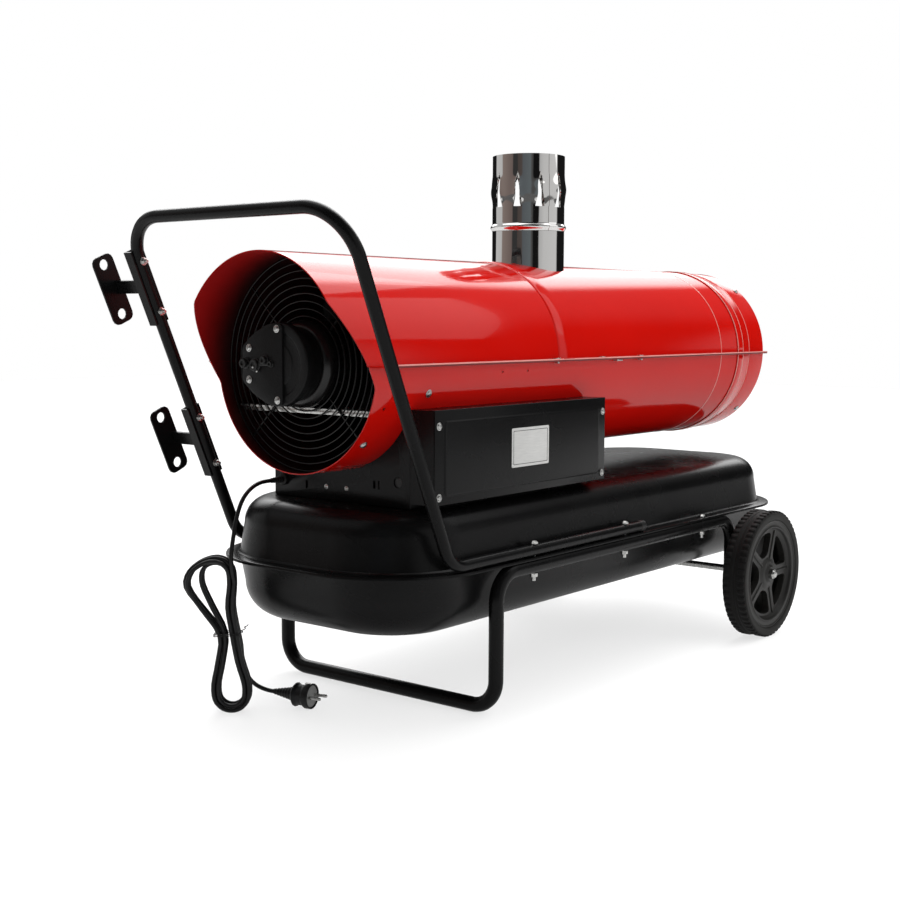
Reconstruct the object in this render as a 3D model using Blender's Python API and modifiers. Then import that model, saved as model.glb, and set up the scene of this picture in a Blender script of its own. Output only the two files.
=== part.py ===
"""Indirect fired space heater on a wheeled undercarriage, in metres, +Z up.

The hot air leaves at +X, the fan end is at -X, the side with the control box is -Y.
The heater stands on two wheels and on the crossbar of its bent tube frame.
"""
from math import asin, cos, floor, hypot, pi, radians, sin, sqrt, tan

import bmesh
import bpy
from mathutils import Matrix, Vector

# Clearances and stock
gap = 0.0003
overrun = 0.01
sheet = 0.0015
smooth_angle = radians(32)

# Undercarriage: one bent tube, from the near axle hole forward, down to the floor and back
leg_x = -0.3268
wheel_base = 0.718
rail_y = 0.211
rail_z = 0.2075
frame_tube = 0.022
frame_bend = 0.042
tail_below_axle = 0.020
tail_bolt_share = 0.847

# Push handle: a thinner tube clamped on the frame rails
handle_tube = 0.018
handle_top_back = 0.3157
handle_top_z = 0.709
handle_foot_back = 0.106
handle_rail_length = 0.399
handle_top_bend = 0.072
handle_foot_bend = 0.045
handle_bolt_shares = (0.2303, 0.8692)

# Wheels, axle
wheel_radius = 0.1143
wheel_width = 0.045
wheel_inner_y = 0.253
axle_radius = 0.006
hub_inner_y = 0.240
hub_outer_y = 0.294
hub_radius = 0.023
rim_radius = 0.097
rim_lip = 0.003
rim_wall = 0.015
web_thickness = 0.012
web_depth = 0.009
window_inner = 0.034
window_outer = 0.074
spoke_width = 0.015
spoke_count = 5
tyre_shoulder = 0.006
tyre_inset = 0.001
nut_radius = 0.0095
nut_height = 0.010
axle_stub = 0.006
spacer_radius = 0.010

# Fuel tank: two deep-drawn halves that meet at a flange
tank_back = 0.2133
tank_ahead = 0.9783
tank_half_width = 0.219
tank_corner = 0.158
tank_flange = 0.0225
tank_lip = 0.003
tank_draft = 0.006
tank_upper_height = 0.0850
tank_lower_depth = 0.0950
tank_upper_round = 0.038
tank_lower_round = 0.055
tank_corner_steps = 5
tank_edge_steps = 3

# Heat exchanger housing: a round casing of thin sheet, split at its middle height
casing_radius = 0.155
casing_low_z = 0.352
casing_flange = 0.009
casing_flange_start = 0.022
hood_back = 0.260
sill_back = 0.192
hood_above = 0.085
hood_below = 0.030
outlet_ahead = 0.949
lap_ahead = 0.235
lap_width = 0.028
bead_ahead = 0.838
bead_width = 0.024
bead_height = 0.0025
bead_slope = 0.004
casing_steps = 18

# Flue
flue_ahead = 0.366
flue_radius = 0.0608
flue_wall = 0.0012
flue_height = 0.1800
flue_bead_rise = 0.0615
flue_bead_half = 0.0065
flue_bead_height = 0.0032
slot_rise = 0.0940
slot_length = 0.0576
slot_width = 0.010
slot_count = 10
cage_swell = 0.0035
flue_steps = 20

# Saddle under the casing, with the control box on its near side
saddle_back = 0.108
saddle_ahead = 0.324
saddle_near_y = 0.1405
saddle_far_y = 0.127
box_near_y = 0.1830
box_low_z = 0.314
box_high_z = 0.4455
cover_field_inset = 0.016
cover_field_height = 0.0015
label_width = 0.0950
label_height = 0.0580
label_ahead = 0.1150
label_z = 0.3820
label_thickness = 0.0005

# Inlet end: compressor, motor, fan and guard
pump_face_back = 0.2250
pump_cover_radius = 0.0580
pump_cover_depth = 0.0120
pump_radius = 0.0520
pump_depth = 0.0230
motor_radius = 0.0620
motor_length = 0.0950
motor_round = 0.008
guard_back = 0.1710
guard_inner = 0.0665
guard_rim_space = 0.0035
guard_wire = 0.0026
guard_rod = 0.0030
guard_rings = 9
guard_steps = 24
guard_rods = 4
bracket_width = 0.0500
bracket_thickness = 0.0025
fan_tip_space = 0.0270
fan_hub_radius = 0.0300
fan_hub_length = 0.0240
fan_hub_back = 0.0500
shaft_radius = 0.0060
shaft_in_motor = 0.0300
blade_count = 5
blade_chord = 0.0520
blade_thickness = 0.0024
blade_pitch = radians(32)

# Burner, combustion chamber and heat exchanger
burner_ahead = 0.0700
burner_length = 0.0600
burner_radius = 0.0550
nozzle_radius = 0.0120
nozzle_length = 0.0300
strut_width = 0.0200
chamber_ahead = 0.1200
chamber_length = 0.6200
gas_space = 0.0370
exchanger_ahead = 0.1900
exchanger_length = 0.6400
air_space = 0.0330
dome_depth = 0.0300
cradle_angle = radians(50)
cradle_thickness = 0.0030
cradle_share = 0.12
outlet_ring_length = 0.0480
outlet_lip = 0.0120

# Fuel fittings on top of the tank
filler_ahead = 0.4900
filler_y = 0.1120
filler_radius = 0.0220
filler_flange = 0.0320
filler_height = 0.0160
cap_radius = 0.0285
cap_height = 0.0200
cap_wall = 0.0030
strainer_depth = 0.0550
strainer_radius = 0.0190
gauge_ahead = 0.4000
gauge_radius = 0.0210
gauge_height = 0.0120
gauge_stem = 0.0060
gauge_reach = 0.0800
pickup_radius = 0.0040
pickup_nut = 0.0100
pickup_nut_height = 0.0080
pickup_filter = 0.0100
pickup_filter_length = 0.0300
pickup_above_floor = 0.0120
fuel_line_radius = 0.0030

# Control parts
panel_back_share = 0.30
panel_width = 0.2100
panel_height = 0.0780
panel_thickness = 0.0030
panel_low_z = 0.3220
switch_hole_width = 0.0145
switch_hole_height = 0.0240
switch_clear = 0.0006
switch_throw = radians(16)
switch_proud = 0.0035
knob_radius = 0.0170
knob_height = 0.0150
window_width = 0.0420
window_height = 0.0240
window_thickness = 0.0020
transformer_size = (0.0800, 0.0600, 0.0450)
board_size = (0.1200, 0.0016, 0.0800)

# Cord brackets on the far side of the handle
bracket_down_shares = (0.197, 0.673)
channel_length = 0.1125
channel_wall = 0.0025
channel_leg = 0.0130
arm_width = 0.0200
arm_thickness = 0.0035
arm_length = 0.0570
hook_width = 0.0370
hook_length = 0.1040
hook_thickness = 0.0030
hook_corner = 0.0100
hook_hole = 0.0080
hook_hole_span = 0.0770
hook_shift = 0.0090
clamp_bolt_radius = 0.0024

# Fasteners
bolt_radius = 0.0030
bolt_head = 0.0058
bolt_head_height = 0.0045
bolt_tail = 0.0110
bolt_nut_height = 0.0050

# Mains lead
cord_diameter = 0.0062
gland_length = 0.0260
gland_flange = 0.0090
gland_rim = 0.0020
gland_y = 0.1080
gland_z = 0.3300
hank_back = 0.2241
hank_y = 0.1070
hank_half_height = 0.1030
hank_swing = 0.0260
hank_sway = 0.0130
hank_bulge_height = 0.0600
hank_fold_share = 3.05
hank_pitch = 0.0070
hank_waist_extra = 0.0003
hank_layers = 4
hank_turns_per_layer = 1.5
hank_loop_points = 24
hank_steps_before = 2
hank_steps_after = 0
hank_fold_crowding_share = 0.30
hank_turn = radians(-51.3)
hank_lean = radians(-3)
tie_height = 0.0080
tie_thickness = 0.0014
lead_route = ((-0.1580, 0.1080, 0.3285), (-0.1770, 0.1070, 0.3215), (-0.1960, 0.1040, 0.3070),
              (-0.2110, 0.1000, 0.2840), (-0.2205, 0.0970, 0.2570), (-0.2275, 0.0943, 0.2330),
              (-0.2284, 0.0922, 0.2110))
tail_route = ((-0.2004, 0.1041, 0.0929), (-0.1946, 0.1090, 0.0749), (-0.1872, 0.1139, 0.0572),
              (-0.1783, 0.1153, 0.0413), (-0.1693, 0.1111, 0.0286), (-0.1622, 0.1010, 0.0216))
plug_back = 0.1400
plug_y = 0.0190
plug_turn = radians(-76)
plug_radius = 0.0187
plug_body = 0.0300
plug_relief = 0.0360
plug_relief_tip = 0.0046
pin_radius = 0.0024
pin_length = 0.0190
pin_half_span = 0.0095

# Places that follow from the sizes above
axle_x = leg_x + wheel_base
hank_x = leg_x - hank_back
plug_x = leg_x - plug_back
lower_flange_top = rail_z + frame_tube / 2 + gap + sheet
seam_z = lower_flange_top + gap / 2
upper_flange_top = seam_z + gap / 2 + sheet
handle_rail_z = upper_flange_top + gap + handle_tube / 2
tank_top_z = seam_z + tank_upper_height
tank_floor_z = seam_z - tank_lower_depth
tank_low_x = leg_x - tank_back
tank_high_x = leg_x + tank_ahead
casing_z = casing_low_z + casing_radius
exchanger_radius = casing_radius - air_space
chamber_radius = exchanger_radius - gas_space
fan_radius = casing_radius - fan_tip_space
guard_outer = casing_radius - guard_rim_space
flue_top_z = casing_z + casing_radius + flue_height
flue_bead_z = casing_z + casing_radius + flue_bead_rise
slot_low_z = casing_z + casing_radius + slot_rise
slot_high_z = slot_low_z + slot_length
casing_inner = (casing_radius - sheet) * cos(pi / 2 / casing_steps)
flue_x = leg_x + flue_ahead
guard_x = leg_x - guard_back
motor_x = leg_x - pump_face_back + pump_cover_depth + pump_depth + 2 * gap
exchanger_x = leg_x + exchanger_ahead
chamber_x = leg_x + chamber_ahead
burner_x = leg_x + burner_ahead
bolt_xs = [leg_x + share * handle_rail_length for share in handle_bolt_shares]
bolt_xs.append(leg_x + tail_bolt_share * wheel_base)

for item in list(bpy.data.objects):
    bpy.data.objects.remove(item, do_unlink=True)

heater = bpy.data.collections.new("indirect_fired_heater")
cutters = bpy.data.collections.new("heater_cutters")
bpy.context.scene.collection.children.link(heater)
bpy.context.scene.collection.children.link(cutters)


def finish(name, colour, roughness, metallic=0.0):
    """A Principled material with the colour seen on the real piece."""
    material = bpy.data.materials.new(name)
    material.use_nodes = True
    shader = material.node_tree.nodes["Principled BSDF"]
    shader.inputs["Base Color"].default_value = (*colour, 1.0)
    shader.inputs["Roughness"].default_value = roughness
    shader.inputs["Metallic"].default_value = metallic
    material.diffuse_color = (*colour, 1.0)
    return material


red_paint = finish("red_powder_coat", (0.62, 0.01, 0.01), 0.25)
black_paint = finish("black_powder_coat", (0.02, 0.02, 0.02), 0.40)
black_plastic = finish("black_plastic", (0.03, 0.03, 0.03), 0.50)
tyre_rubber = finish("tyre_rubber", (0.02, 0.02, 0.02), 0.80)
cord_rubber = finish("cord_jacket", (0.02, 0.02, 0.02), 0.55)
mirror_steel = finish("mirror_steel", (0.80, 0.80, 0.80), 0.08, 1.0)
zinc_steel = finish("zinc_plated_steel", (0.62, 0.62, 0.60), 0.30, 1.0)
heat_steel = finish("heat_resisting_steel", (0.42, 0.40, 0.38), 0.40, 1.0)
cast_alloy = finish("cast_alloy", (0.10, 0.10, 0.10), 0.45, 1.0)
label_foil = finish("label_foil", (0.75, 0.75, 0.73), 0.45)
board_green = finish("board_laminate", (0.02, 0.14, 0.06), 0.50)
clear_window = finish("tinted_window", (0.05, 0.01, 0.01), 0.10)

AXIS_TURNS = {
    "+Z": Matrix.Identity(4),
    "+X": Matrix.Rotation(radians(90), 4, "Y"),
    "-X": Matrix.Rotation(radians(-90), 4, "Y"),
    "+Y": Matrix.Rotation(radians(-90), 4, "X"),
    "-Y": Matrix.Rotation(radians(90), 4, "X"),
}


def add(name, data, material, place=None):
    """An object that holds the data, in the heater's collection, or in the cutters' one."""
    thing = bpy.data.objects.new(name, data)
    if material is None:
        cutters.objects.link(thing)
        thing.hide_render = True
        thing.display_type = "WIRE"
    else:
        heater.objects.link(thing)
        data.materials.append(material)
    if place is not None:
        thing.matrix_world = place
    return thing


def mesh_of(name, bm, smooth=True):
    """The finished mesh of a bmesh, shaded smooth except at its sharp edges."""
    mesh = bpy.data.meshes.new(name)
    bm.to_mesh(mesh)
    bm.free()
    if smooth:
        mesh.shade_smooth()
        mesh.set_sharp_from_angle(angle=smooth_angle)
    return mesh


def at(x, y, z, axis="+Z"):
    """A place at a point, with the local Z axis along the named direction."""
    return Matrix.Translation((x, y, z)) @ AXIS_TURNS[axis]


def block(name, low, high, material, rounding=0.0):
    """A box between two corners, its edges rounded by a Bevel modifier."""
    low = Vector(low)
    high = Vector(high)
    bm = bmesh.new()
    bmesh.ops.create_cube(bm, size=1.0)
    bmesh.ops.scale(bm, vec=high - low, verts=bm.verts)
    thing = add(name, mesh_of(name, bm, False), material, Matrix.Translation((low + high) / 2))
    if rounding:
        bevel = thing.modifiers.new("rounded_edges", "BEVEL")
        bevel.width = rounding
        bevel.segments = 2
        bevel.limit_method = "ANGLE"
    return thing


def turned(name, profile, steps, material, place, closed=False):
    """A turned piece: its outer side is listed from the top of its axis to the bottom."""
    mesh = bpy.data.meshes.new(name)
    count = len(profile)
    edges = [(i, i + 1) for i in range(count - 1)]
    if closed:
        edges.append((count - 1, 0))
    mesh.from_pydata([(radius, 0, height) for radius, height in profile], edges, [])
    thing = add(name, mesh, material, place)
    screw_round(thing, steps)
    return thing


def screw_round(thing, steps):
    """The Screw modifier that turns a profile about its local Z axis."""
    screw = thing.modifiers.new("turned", "SCREW")
    screw.axis = "Z"
    screw.steps = steps
    screw.render_steps = steps
    screw.use_merge_vertices = True
    screw.merge_threshold = 0.00005
    screw.use_smooth_shade = True


def rod(name, radius, length, steps, material, place):
    """A plain round bar that runs from its place along the local Z axis."""
    bm = bmesh.new()
    bmesh.ops.create_cone(bm, cap_ends=True, segments=steps, radius1=radius, radius2=radius,
                          depth=length, matrix=Matrix.Translation((0, 0, length / 2)))
    return add(name, mesh_of(name, bm), material, place)


def tube(name, points, diameter, material, resolution=3):
    """A round tube with closed ends along a list of points."""
    curve = bpy.data.curves.new(name, "CURVE")
    curve.dimensions = "3D"
    curve.bevel_depth = diameter / 2
    curve.bevel_resolution = resolution
    curve.use_fill_caps = True
    curve.resolution_u = 1
    spline = curve.splines.new("POLY")
    spline.points.add(len(points) - 1)
    for slot, point in zip(spline.points, points):
        slot.co = (*point, 1.0)
        slot.radius = 1.0
    return add(name, curve, material)


def plate(name, outlines, thickness, material, place):
    """A flat plate with holes: 2D outlines in the local XY plane, centred on its thickness."""
    curve = bpy.data.curves.new(name, "CURVE")
    curve.dimensions = "2D"
    curve.fill_mode = "BOTH"
    curve.extrude = thickness / 2
    for outline in outlines:
        spline = curve.splines.new("POLY")
        spline.points.add(len(outline) - 1)
        for slot, point in zip(spline.points, outline):
            slot.co = (point[0], point[1], 0, 1.0)
        spline.use_cyclic_u = True
    return add(name, curve, material, place)


def as_mesh(thing, merge=gap / 10):
    """The same piece as a welded mesh, so that it can be cut or joined."""
    graph = bpy.context.evaluated_depsgraph_get()
    graph.update()
    mesh = bpy.data.meshes.new_from_object(thing.evaluated_get(graph))
    bm = bmesh.new()
    bm.from_mesh(mesh)
    bmesh.ops.remove_doubles(bm, verts=bm.verts, dist=merge)
    bmesh.ops.recalc_face_normals(bm, faces=bm.faces)
    bm.to_mesh(mesh)
    bm.free()
    name = thing.name
    place = thing.matrix_world.copy()
    material = mesh.materials[0] if mesh.materials else None
    mesh.materials.clear()
    bpy.data.objects.remove(thing, do_unlink=True)
    mesh.shade_smooth()
    mesh.set_sharp_from_angle(angle=smooth_angle)
    return add(name, mesh, material, place)


def combine(thing, other, operation="DIFFERENCE"):
    """Cuts the piece with another body, or joins that body to it."""
    boolean = thing.modifiers.new(other.name, "BOOLEAN")
    boolean.operation = operation
    boolean.object = other
    boolean.solver = "EXACT"


def around(radius, steps):
    """The radius of a hole with this many flat sides that clears a bar of the given radius."""
    return radius / cos(pi / steps) + gap


def arc(centre_x, centre_y, radius, start, end, steps):
    """Points along an arc, both ends included."""
    turns = [start + (end - start) * i / steps for i in range(steps + 1)]
    return [(centre_x + radius * cos(turn), centre_y + radius * sin(turn)) for turn in turns]


def rounded_rectangle(half_x, half_y, corner, steps):
    """The points of a rounded rectangle, centred on zero."""
    points = []
    for sign_x, sign_y, start in ((1, 1, 0), (-1, 1, pi / 2), (-1, -1, pi), (1, -1, 3 * pi / 2)):
        points += arc(sign_x * (half_x - corner), sign_y * (half_y - corner), corner,
                      start, start + pi / 2, steps)
    return points


def bent_route(corners, bends, steps):
    """A route through corners, with a round bend of its own radius at each inner corner."""
    corners = [Vector(corner) for corner in corners]
    route = [corners[0]]
    for before, corner, after, radius in zip(corners, corners[1:], corners[2:], bends):
        inward = (before - corner).normalized()
        onward = (after - corner).normalized()
        half = inward.angle(onward) / 2
        middle = corner + (inward + onward).normalized() * (radius / sin(half))
        first = corner + inward * (radius / tan(half)) - middle
        last = corner + onward * (radius / tan(half)) - middle
        turn = pi - 2 * half
        for i in range(steps + 1):
            share = i / steps
            route.append(middle + (first * sin((1 - share) * turn) + last * sin(share * turn)) / sin(turn))
    route.append(corners[-1])
    return route


def smooth_route(points, spacing):
    """Evenly spaced points of a smooth curve through hand-placed points, its end runs straight."""
    points = [Vector(point) for point in points]
    fine = []
    for a, b, c, d in zip(points, points[1:], points[2:], points[3:]):
        for i in range(24):
            t = i / 24
            fine.append((2 * b + (c - a) * t + (2 * a - 5 * b + 4 * c - d) * t * t
                         + (3 * b - a - 3 * c + d) * t * t * t) / 2)
    fine.append(points[-2])
    length = sum((q - p).length for p, q in zip(fine, fine[1:]))
    count = max(2, round(length / spacing))
    route = [points[0], fine[0]]
    walked = 0.0
    for p, q in zip(fine, fine[1:]):
        step = (q - p).length
        while step and len(route) <= count and walked + step >= length * (len(route) - 1) / count:
            share = (length * (len(route) - 1) / count - walked) / step
            route.append(p.lerp(q, share))
        walked += step
    route += [points[-2], points[-1]]
    length += (points[1] - points[0]).length + (points[-1] - points[-2]).length
    return route, length


def bent_grid(name, rows, columns, place, outward_from, material, joined=False, top_closed=False):
    """A sheet metal skin: a grid whose points are set by row and column, then given its gauge."""
    bm = bmesh.new()
    bmesh.ops.create_grid(bm, x_segments=columns, y_segments=rows, size=0.5)
    for vert in bm.verts:
        column = round((vert.co.x + 0.5) * columns)
        row = round((vert.co.y + 0.5) * rows)
        vert.co = place(row, column)
    bmesh.ops.remove_doubles(bm, verts=bm.verts, dist=gap / 10) if joined else None
    if top_closed:
        highest = max(bm.verts, key=lambda vert: abs(vert.co.z - outward_from[2])).co.z
        ring = [edge for edge in bm.edges if edge.is_boundary
                and all(abs(vert.co.z - highest) < gap for vert in edge.verts)]
        bmesh.ops.contextual_create(bm, geom=ring)
    bmesh.ops.recalc_face_normals(bm, faces=bm.faces)
    centre = Vector(outward_from)
    facing = 0.0
    for face in bm.faces:
        away = face.calc_center_median() - centre
        away.x = away.x if joined else 0.0
        facing += face.normal.dot(away) * face.calc_area()
    if facing < 0:
        bmesh.ops.reverse_faces(bm, faces=bm.faces)
    thing = add(name, mesh_of(name, bm), material)
    wall = thing.modifiers.new("gauge", "SOLIDIFY")
    wall.thickness = sheet
    wall.offset = -1
    wall.use_even_offset = True
    return thing


def tank_half(name, up):
    """One drawn half of the tank: flange, slightly tapered wall, rounded edge, flat face."""
    height = tank_upper_height if up > 0 else tank_lower_depth
    edge_round = tank_upper_round if up > 0 else tank_lower_round
    rim = tank_lip if up > 0 else 0.0
    inset = 0.0 if up > 0 else sheet + gap
    level = seam_z + up * (gap / 2 + sheet)
    stations = [(inset, level)]
    if rim:
        stations = [(0.0, level - sheet - rim), (0.0, level)]
    stations.append((tank_flange - sheet, level))
    stations.append((tank_flange, level + up * sheet))
    for i in range(tank_edge_steps + 1):
        turn = (pi / 2) * i / tank_edge_steps
        stations.append((tank_flange + tank_draft + edge_round * (1 - cos(turn)),
                         seam_z + up * (height - edge_round * (1 - sin(turn)))))
    columns = 4 * (tank_corner_steps + 1)
    middle_x = (tank_low_x + tank_high_x) / 2
    half_length = (tank_high_x - tank_low_x) / 2

    def place(row, column):
        offset, z = stations[row]
        outline = rounded_rectangle(half_length - offset, tank_half_width - offset,
                                    tank_corner - offset, tank_corner_steps)
        x, y = outline[column % columns]
        return Vector((middle_x + x, y, z))

    return bent_grid(name, len(stations) - 1, columns, place, (middle_x, 0, seam_z),
                     black_paint, joined=True, top_closed=True)


def hood_x(height):
    """Where the inlet rim stands at a height above or below the casing's axis."""
    share = min(max((hood_above - height) / (hood_above + hood_below), 0.0), 1.0)
    return leg_x - hood_back + (hood_back - sill_back) * share


def casing_panel(name, up, stations, from_rim):
    """A half round casing panel with its side flanges, lofted through stations along X."""
    rise = gap / 2 + sheet

    def place(row, column):
        x, bead, lap = stations[row]
        at_flange = column < 2 or column > casing_steps
        radius = casing_radius + lap + (0.0 if at_flange else bead)
        start = asin(rise / radius)
        if column in (0, casing_steps + 2):
            side = -1 if column == 0 else 1
            stub = sheet - casing_flange if from_rim and row == 0 else 0.0
            y = side * (casing_radius + casing_flange + lap + stub)
            height = rise + lap
        else:
            turn = start + (pi - 2 * start) * (column - 1) / casing_steps
            y = -radius * cos(turn)
            height = max(radius * sin(turn), rise + lap)
        if from_rim and row < 2:
            x = hood_x(up * height) + row * casing_flange_start
        return Vector((x, y, casing_z + up * height))

    return bent_grid(name, len(stations) - 1, casing_steps + 2, place, (0, 0, casing_z), red_paint)


def bead_stations():
    """The raised bead near the outlet, as stations of place, height and lap."""
    low = leg_x + bead_ahead
    high = low + bead_width
    return [(low, 0.0, 0.0), (low + bead_slope, bead_height, 0.0),
            (high - bead_slope, bead_height, 0.0), (high, 0.0, 0.0)]


def make_tank():
    """The two tank halves, with their bolt holes and the openings for the fittings."""
    upper = tank_half("tank_upper_shell", 1)
    lower = tank_half("tank_lower_shell", -1)
    for name, x, y, radius in (("filler_opening", leg_x + filler_ahead, filler_y, around(filler_radius, 20)),
                               ("gauge_opening", leg_x + gauge_ahead, filler_y, gauge_stem + gap),
                               ("pickup_opening", burner_x + burner_length / 2, 0, pickup_radius + gap)):
        hole = rod(name, radius, 2 * overrun, 20, None, at(x, y, tank_top_z - overrun))
        combine(upper, hole)
    return upper, lower


def make_frame():
    """The bent tube that carries the tank: rails, front leg and the two drops to the axle."""
    half = frame_tube / 2
    low = wheel_radius - tail_below_axle
    corners = []
    for side in (-1, 1):
        leg = [(axle_x, side * rail_y, low), (axle_x, side * rail_y, rail_z),
               (leg_x, side * rail_y, rail_z), (leg_x, side * rail_y, half)]
        corners += leg if side < 0 else reversed(leg)
    frame = tube("undercarriage_frame", bent_route(corners, [frame_bend] * 6, 4), frame_tube, black_paint)
    frame = as_mesh(frame)
    axle_hole = rod("axle_hole", axle_radius + gap, 2 * wheel_inner_y, 16, None,
                    at(axle_x, -wheel_inner_y, wheel_radius, "+Y"))
    combine(frame, axle_hole)
    return frame


def make_handle():
    """The push handle: two sloping sides, a top bar and the feet that lie on the flange."""
    corners = []
    for side in (-1, 1):
        leg = [(leg_x + handle_rail_length, side * rail_y, handle_rail_z),
               (leg_x - handle_foot_back, side * rail_y, handle_rail_z),
               (leg_x - handle_top_back, side * rail_y, handle_top_z)]
        corners += leg if side < 0 else reversed(leg)
    bends = [handle_foot_bend, handle_top_bend, handle_top_bend, handle_foot_bend]
    return as_mesh(tube("push_handle", bent_route(corners, bends, 4), handle_tube, black_paint, 2))


def make_bolts(frame, handle, upper, lower):
    """The bolts that clamp handle, tank flange and frame rail, and the holes that they fill."""
    floor = rail_z - frame_tube / 2 - gap
    for side, word in ((-1, "near"), (1, "far")):
        for index, x in enumerate(bolt_xs):
            through_handle = x < leg_x + handle_rail_length
            seat = handle_rail_z + handle_tube / 2 if through_handle else upper_flange_top
            seat += gap
            profile = [(0, seat + bolt_head_height), (bolt_head / 2, seat + bolt_head_height),
                       (bolt_head, seat + bolt_head_height / 2), (bolt_head, seat),
                       (bolt_radius, seat), (bolt_radius, floor), (bolt_head, floor),
                       (bolt_head, floor - bolt_nut_height), (bolt_radius, floor - bolt_nut_height),
                       (bolt_radius, floor - bolt_tail), (0, floor - bolt_tail)]
            turned("frame_bolt_%s_%d" % (word, index + 1), profile, 6, zinc_steel,
                   at(x, side * rail_y, 0))
            hole = rod("bolt_hole_%s_%d" % (word, index + 1), bolt_radius + gap,
                       seat - floor + 2 * overrun, 12, None, at(x, side * rail_y, floor - overrun))
            for piece in (frame, upper, lower) + ((handle,) if through_handle else ()):
                combine(piece, hole)


def window_outline(turn):
    """One opening between two spokes: two arcs with straight sides parallel to the spokes."""
    points = []
    for radius, steps, way in ((window_outer, 4, 1), (window_inner, 2, -1)):
        half = pi / spoke_count - asin(spoke_width / 2 / radius)
        points += arc(0, 0, radius, turn - way * half, turn + way * half, steps)
    return points


def make_wheel(side, word):
    """A moulded wheel, its tyre, the spacer behind it and the cap nut in front of it."""
    axis = "-Y" if side < 0 else "+Y"
    place = at(axle_x, side * wheel_inner_y, wheel_radius, axis)
    hub_low = hub_inner_y - wheel_inner_y
    hub_high = hub_outer_y - wheel_inner_y
    bore = axle_radius + gap
    rim_low = rim_lip
    rim_high = wheel_width - rim_lip
    rim_inner = rim_radius - rim_wall
    web_high = rim_high - web_depth
    web_low = web_high - web_thickness
    profile = [(rim_radius, rim_high), (rim_radius, rim_low), (rim_inner, rim_low), (rim_inner, web_low),
               (hub_radius, web_low), (hub_radius, hub_low), (bore, hub_low), (bore, hub_high),
               (hub_radius, hub_high), (hub_radius, web_high), (rim_inner, web_high),
               (rim_inner, rim_high)]
    rim = turned("wheel_rim_" + word, profile, 25, black_plastic, place, closed=True)
    outlines = [window_outline(2 * pi * (i + 0.5) / spoke_count) for i in range(spoke_count)]
    windows = as_mesh(plate("wheel_windows_" + word, outlines, 2 * wheel_width, None,
                            place @ Matrix.Translation((0, 0, wheel_width / 2))))
    combine(rim, windows)
    inner = around(rim_radius, 32)
    tread = wheel_radius
    shoulder = wheel_radius - tyre_shoulder
    profile = [(shoulder, wheel_width), (tread, wheel_width - tyre_shoulder), (tread, tyre_shoulder),
               (shoulder, 0), (inner, tyre_inset), (inner, wheel_width - tyre_inset)]
    turned("tyre_" + word, profile, 32, tyre_rubber, place, closed=True)
    low = rail_y + frame_tube / 2 + gap
    high = hub_inner_y - gap
    profile = [(spacer_radius, high), (spacer_radius, low), (bore, low), (bore, high)]
    turned("axle_spacer_" + word, profile, 14, zinc_steel, at(axle_x, 0, wheel_radius, axis), closed=True)
    nut = rod("hub_nut_" + word, nut_radius, nut_height, 6, zinc_steel,
              at(axle_x, side * (hub_outer_y + gap), wheel_radius, axis))
    blind = rod("nut_bore_" + word, bore, axle_stub + 2 * gap + overrun, 12, None,
                at(axle_x, side * (hub_outer_y - overrun), wheel_radius, axis))
    combine(nut, blind)


def make_axle():
    """The plain bar that both wheels run on."""
    half = hub_outer_y + axle_stub
    rod("axle", axle_radius, 2 * half, 16, zinc_steel, at(axle_x, -half, wheel_radius, "+Y"))


def make_casing():
    """The casing: one lower half, and an upper half in two panels that lap ahead of the fan."""
    end = leg_x + outlet_ahead
    lap = leg_x + lap_ahead
    rim = leg_x - hood_back
    step = sheet + gap
    start = [(rim, 0.0, 0.0), (rim + casing_flange_start, 0.0, 0.0)]
    casing_panel("casing_lower_panel", -1, start + bead_stations() + [(end, 0.0, 0.0)], True)
    casing_panel("casing_inlet_panel", 1,
                 start + [(lap - step, 0.0, 0.0), (lap + step, 0.0, step),
                          (lap + lap_width, 0.0, step)], True)
    outlet = casing_panel("casing_outlet_panel", 1,
                          [(lap + 2 * step, 0.0, 0.0)] + bead_stations() + [(end, 0.0, 0.0)], False)
    hole = rod("flue_opening", around(flue_radius, flue_steps), 2 * overrun + casing_radius, flue_steps, None,
               at(flue_x, 0, casing_z + casing_radius / 2))
    combine(outlet, hole)
    fuel_hole = rod("fuel_line_opening", fuel_line_radius + gap, 2 * overrun, 12, None,
                    at(burner_x + burner_length / 2, 0, casing_z - casing_radius - overrun))
    combine(bpy.data.objects["casing_lower_panel"], fuel_hole)
    low = -outlet_ring_length
    outer = casing_inner - gap
    profile = [(outer, 0), (outer, low), (outer - sheet, low), (outer - sheet, -sheet),
               (outer - outlet_lip, -sheet), (outer - outlet_lip, 0)]
    turned("outlet_ring", profile, 32, red_paint, at(end, 0, casing_z, "+X"), closed=True)


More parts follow.
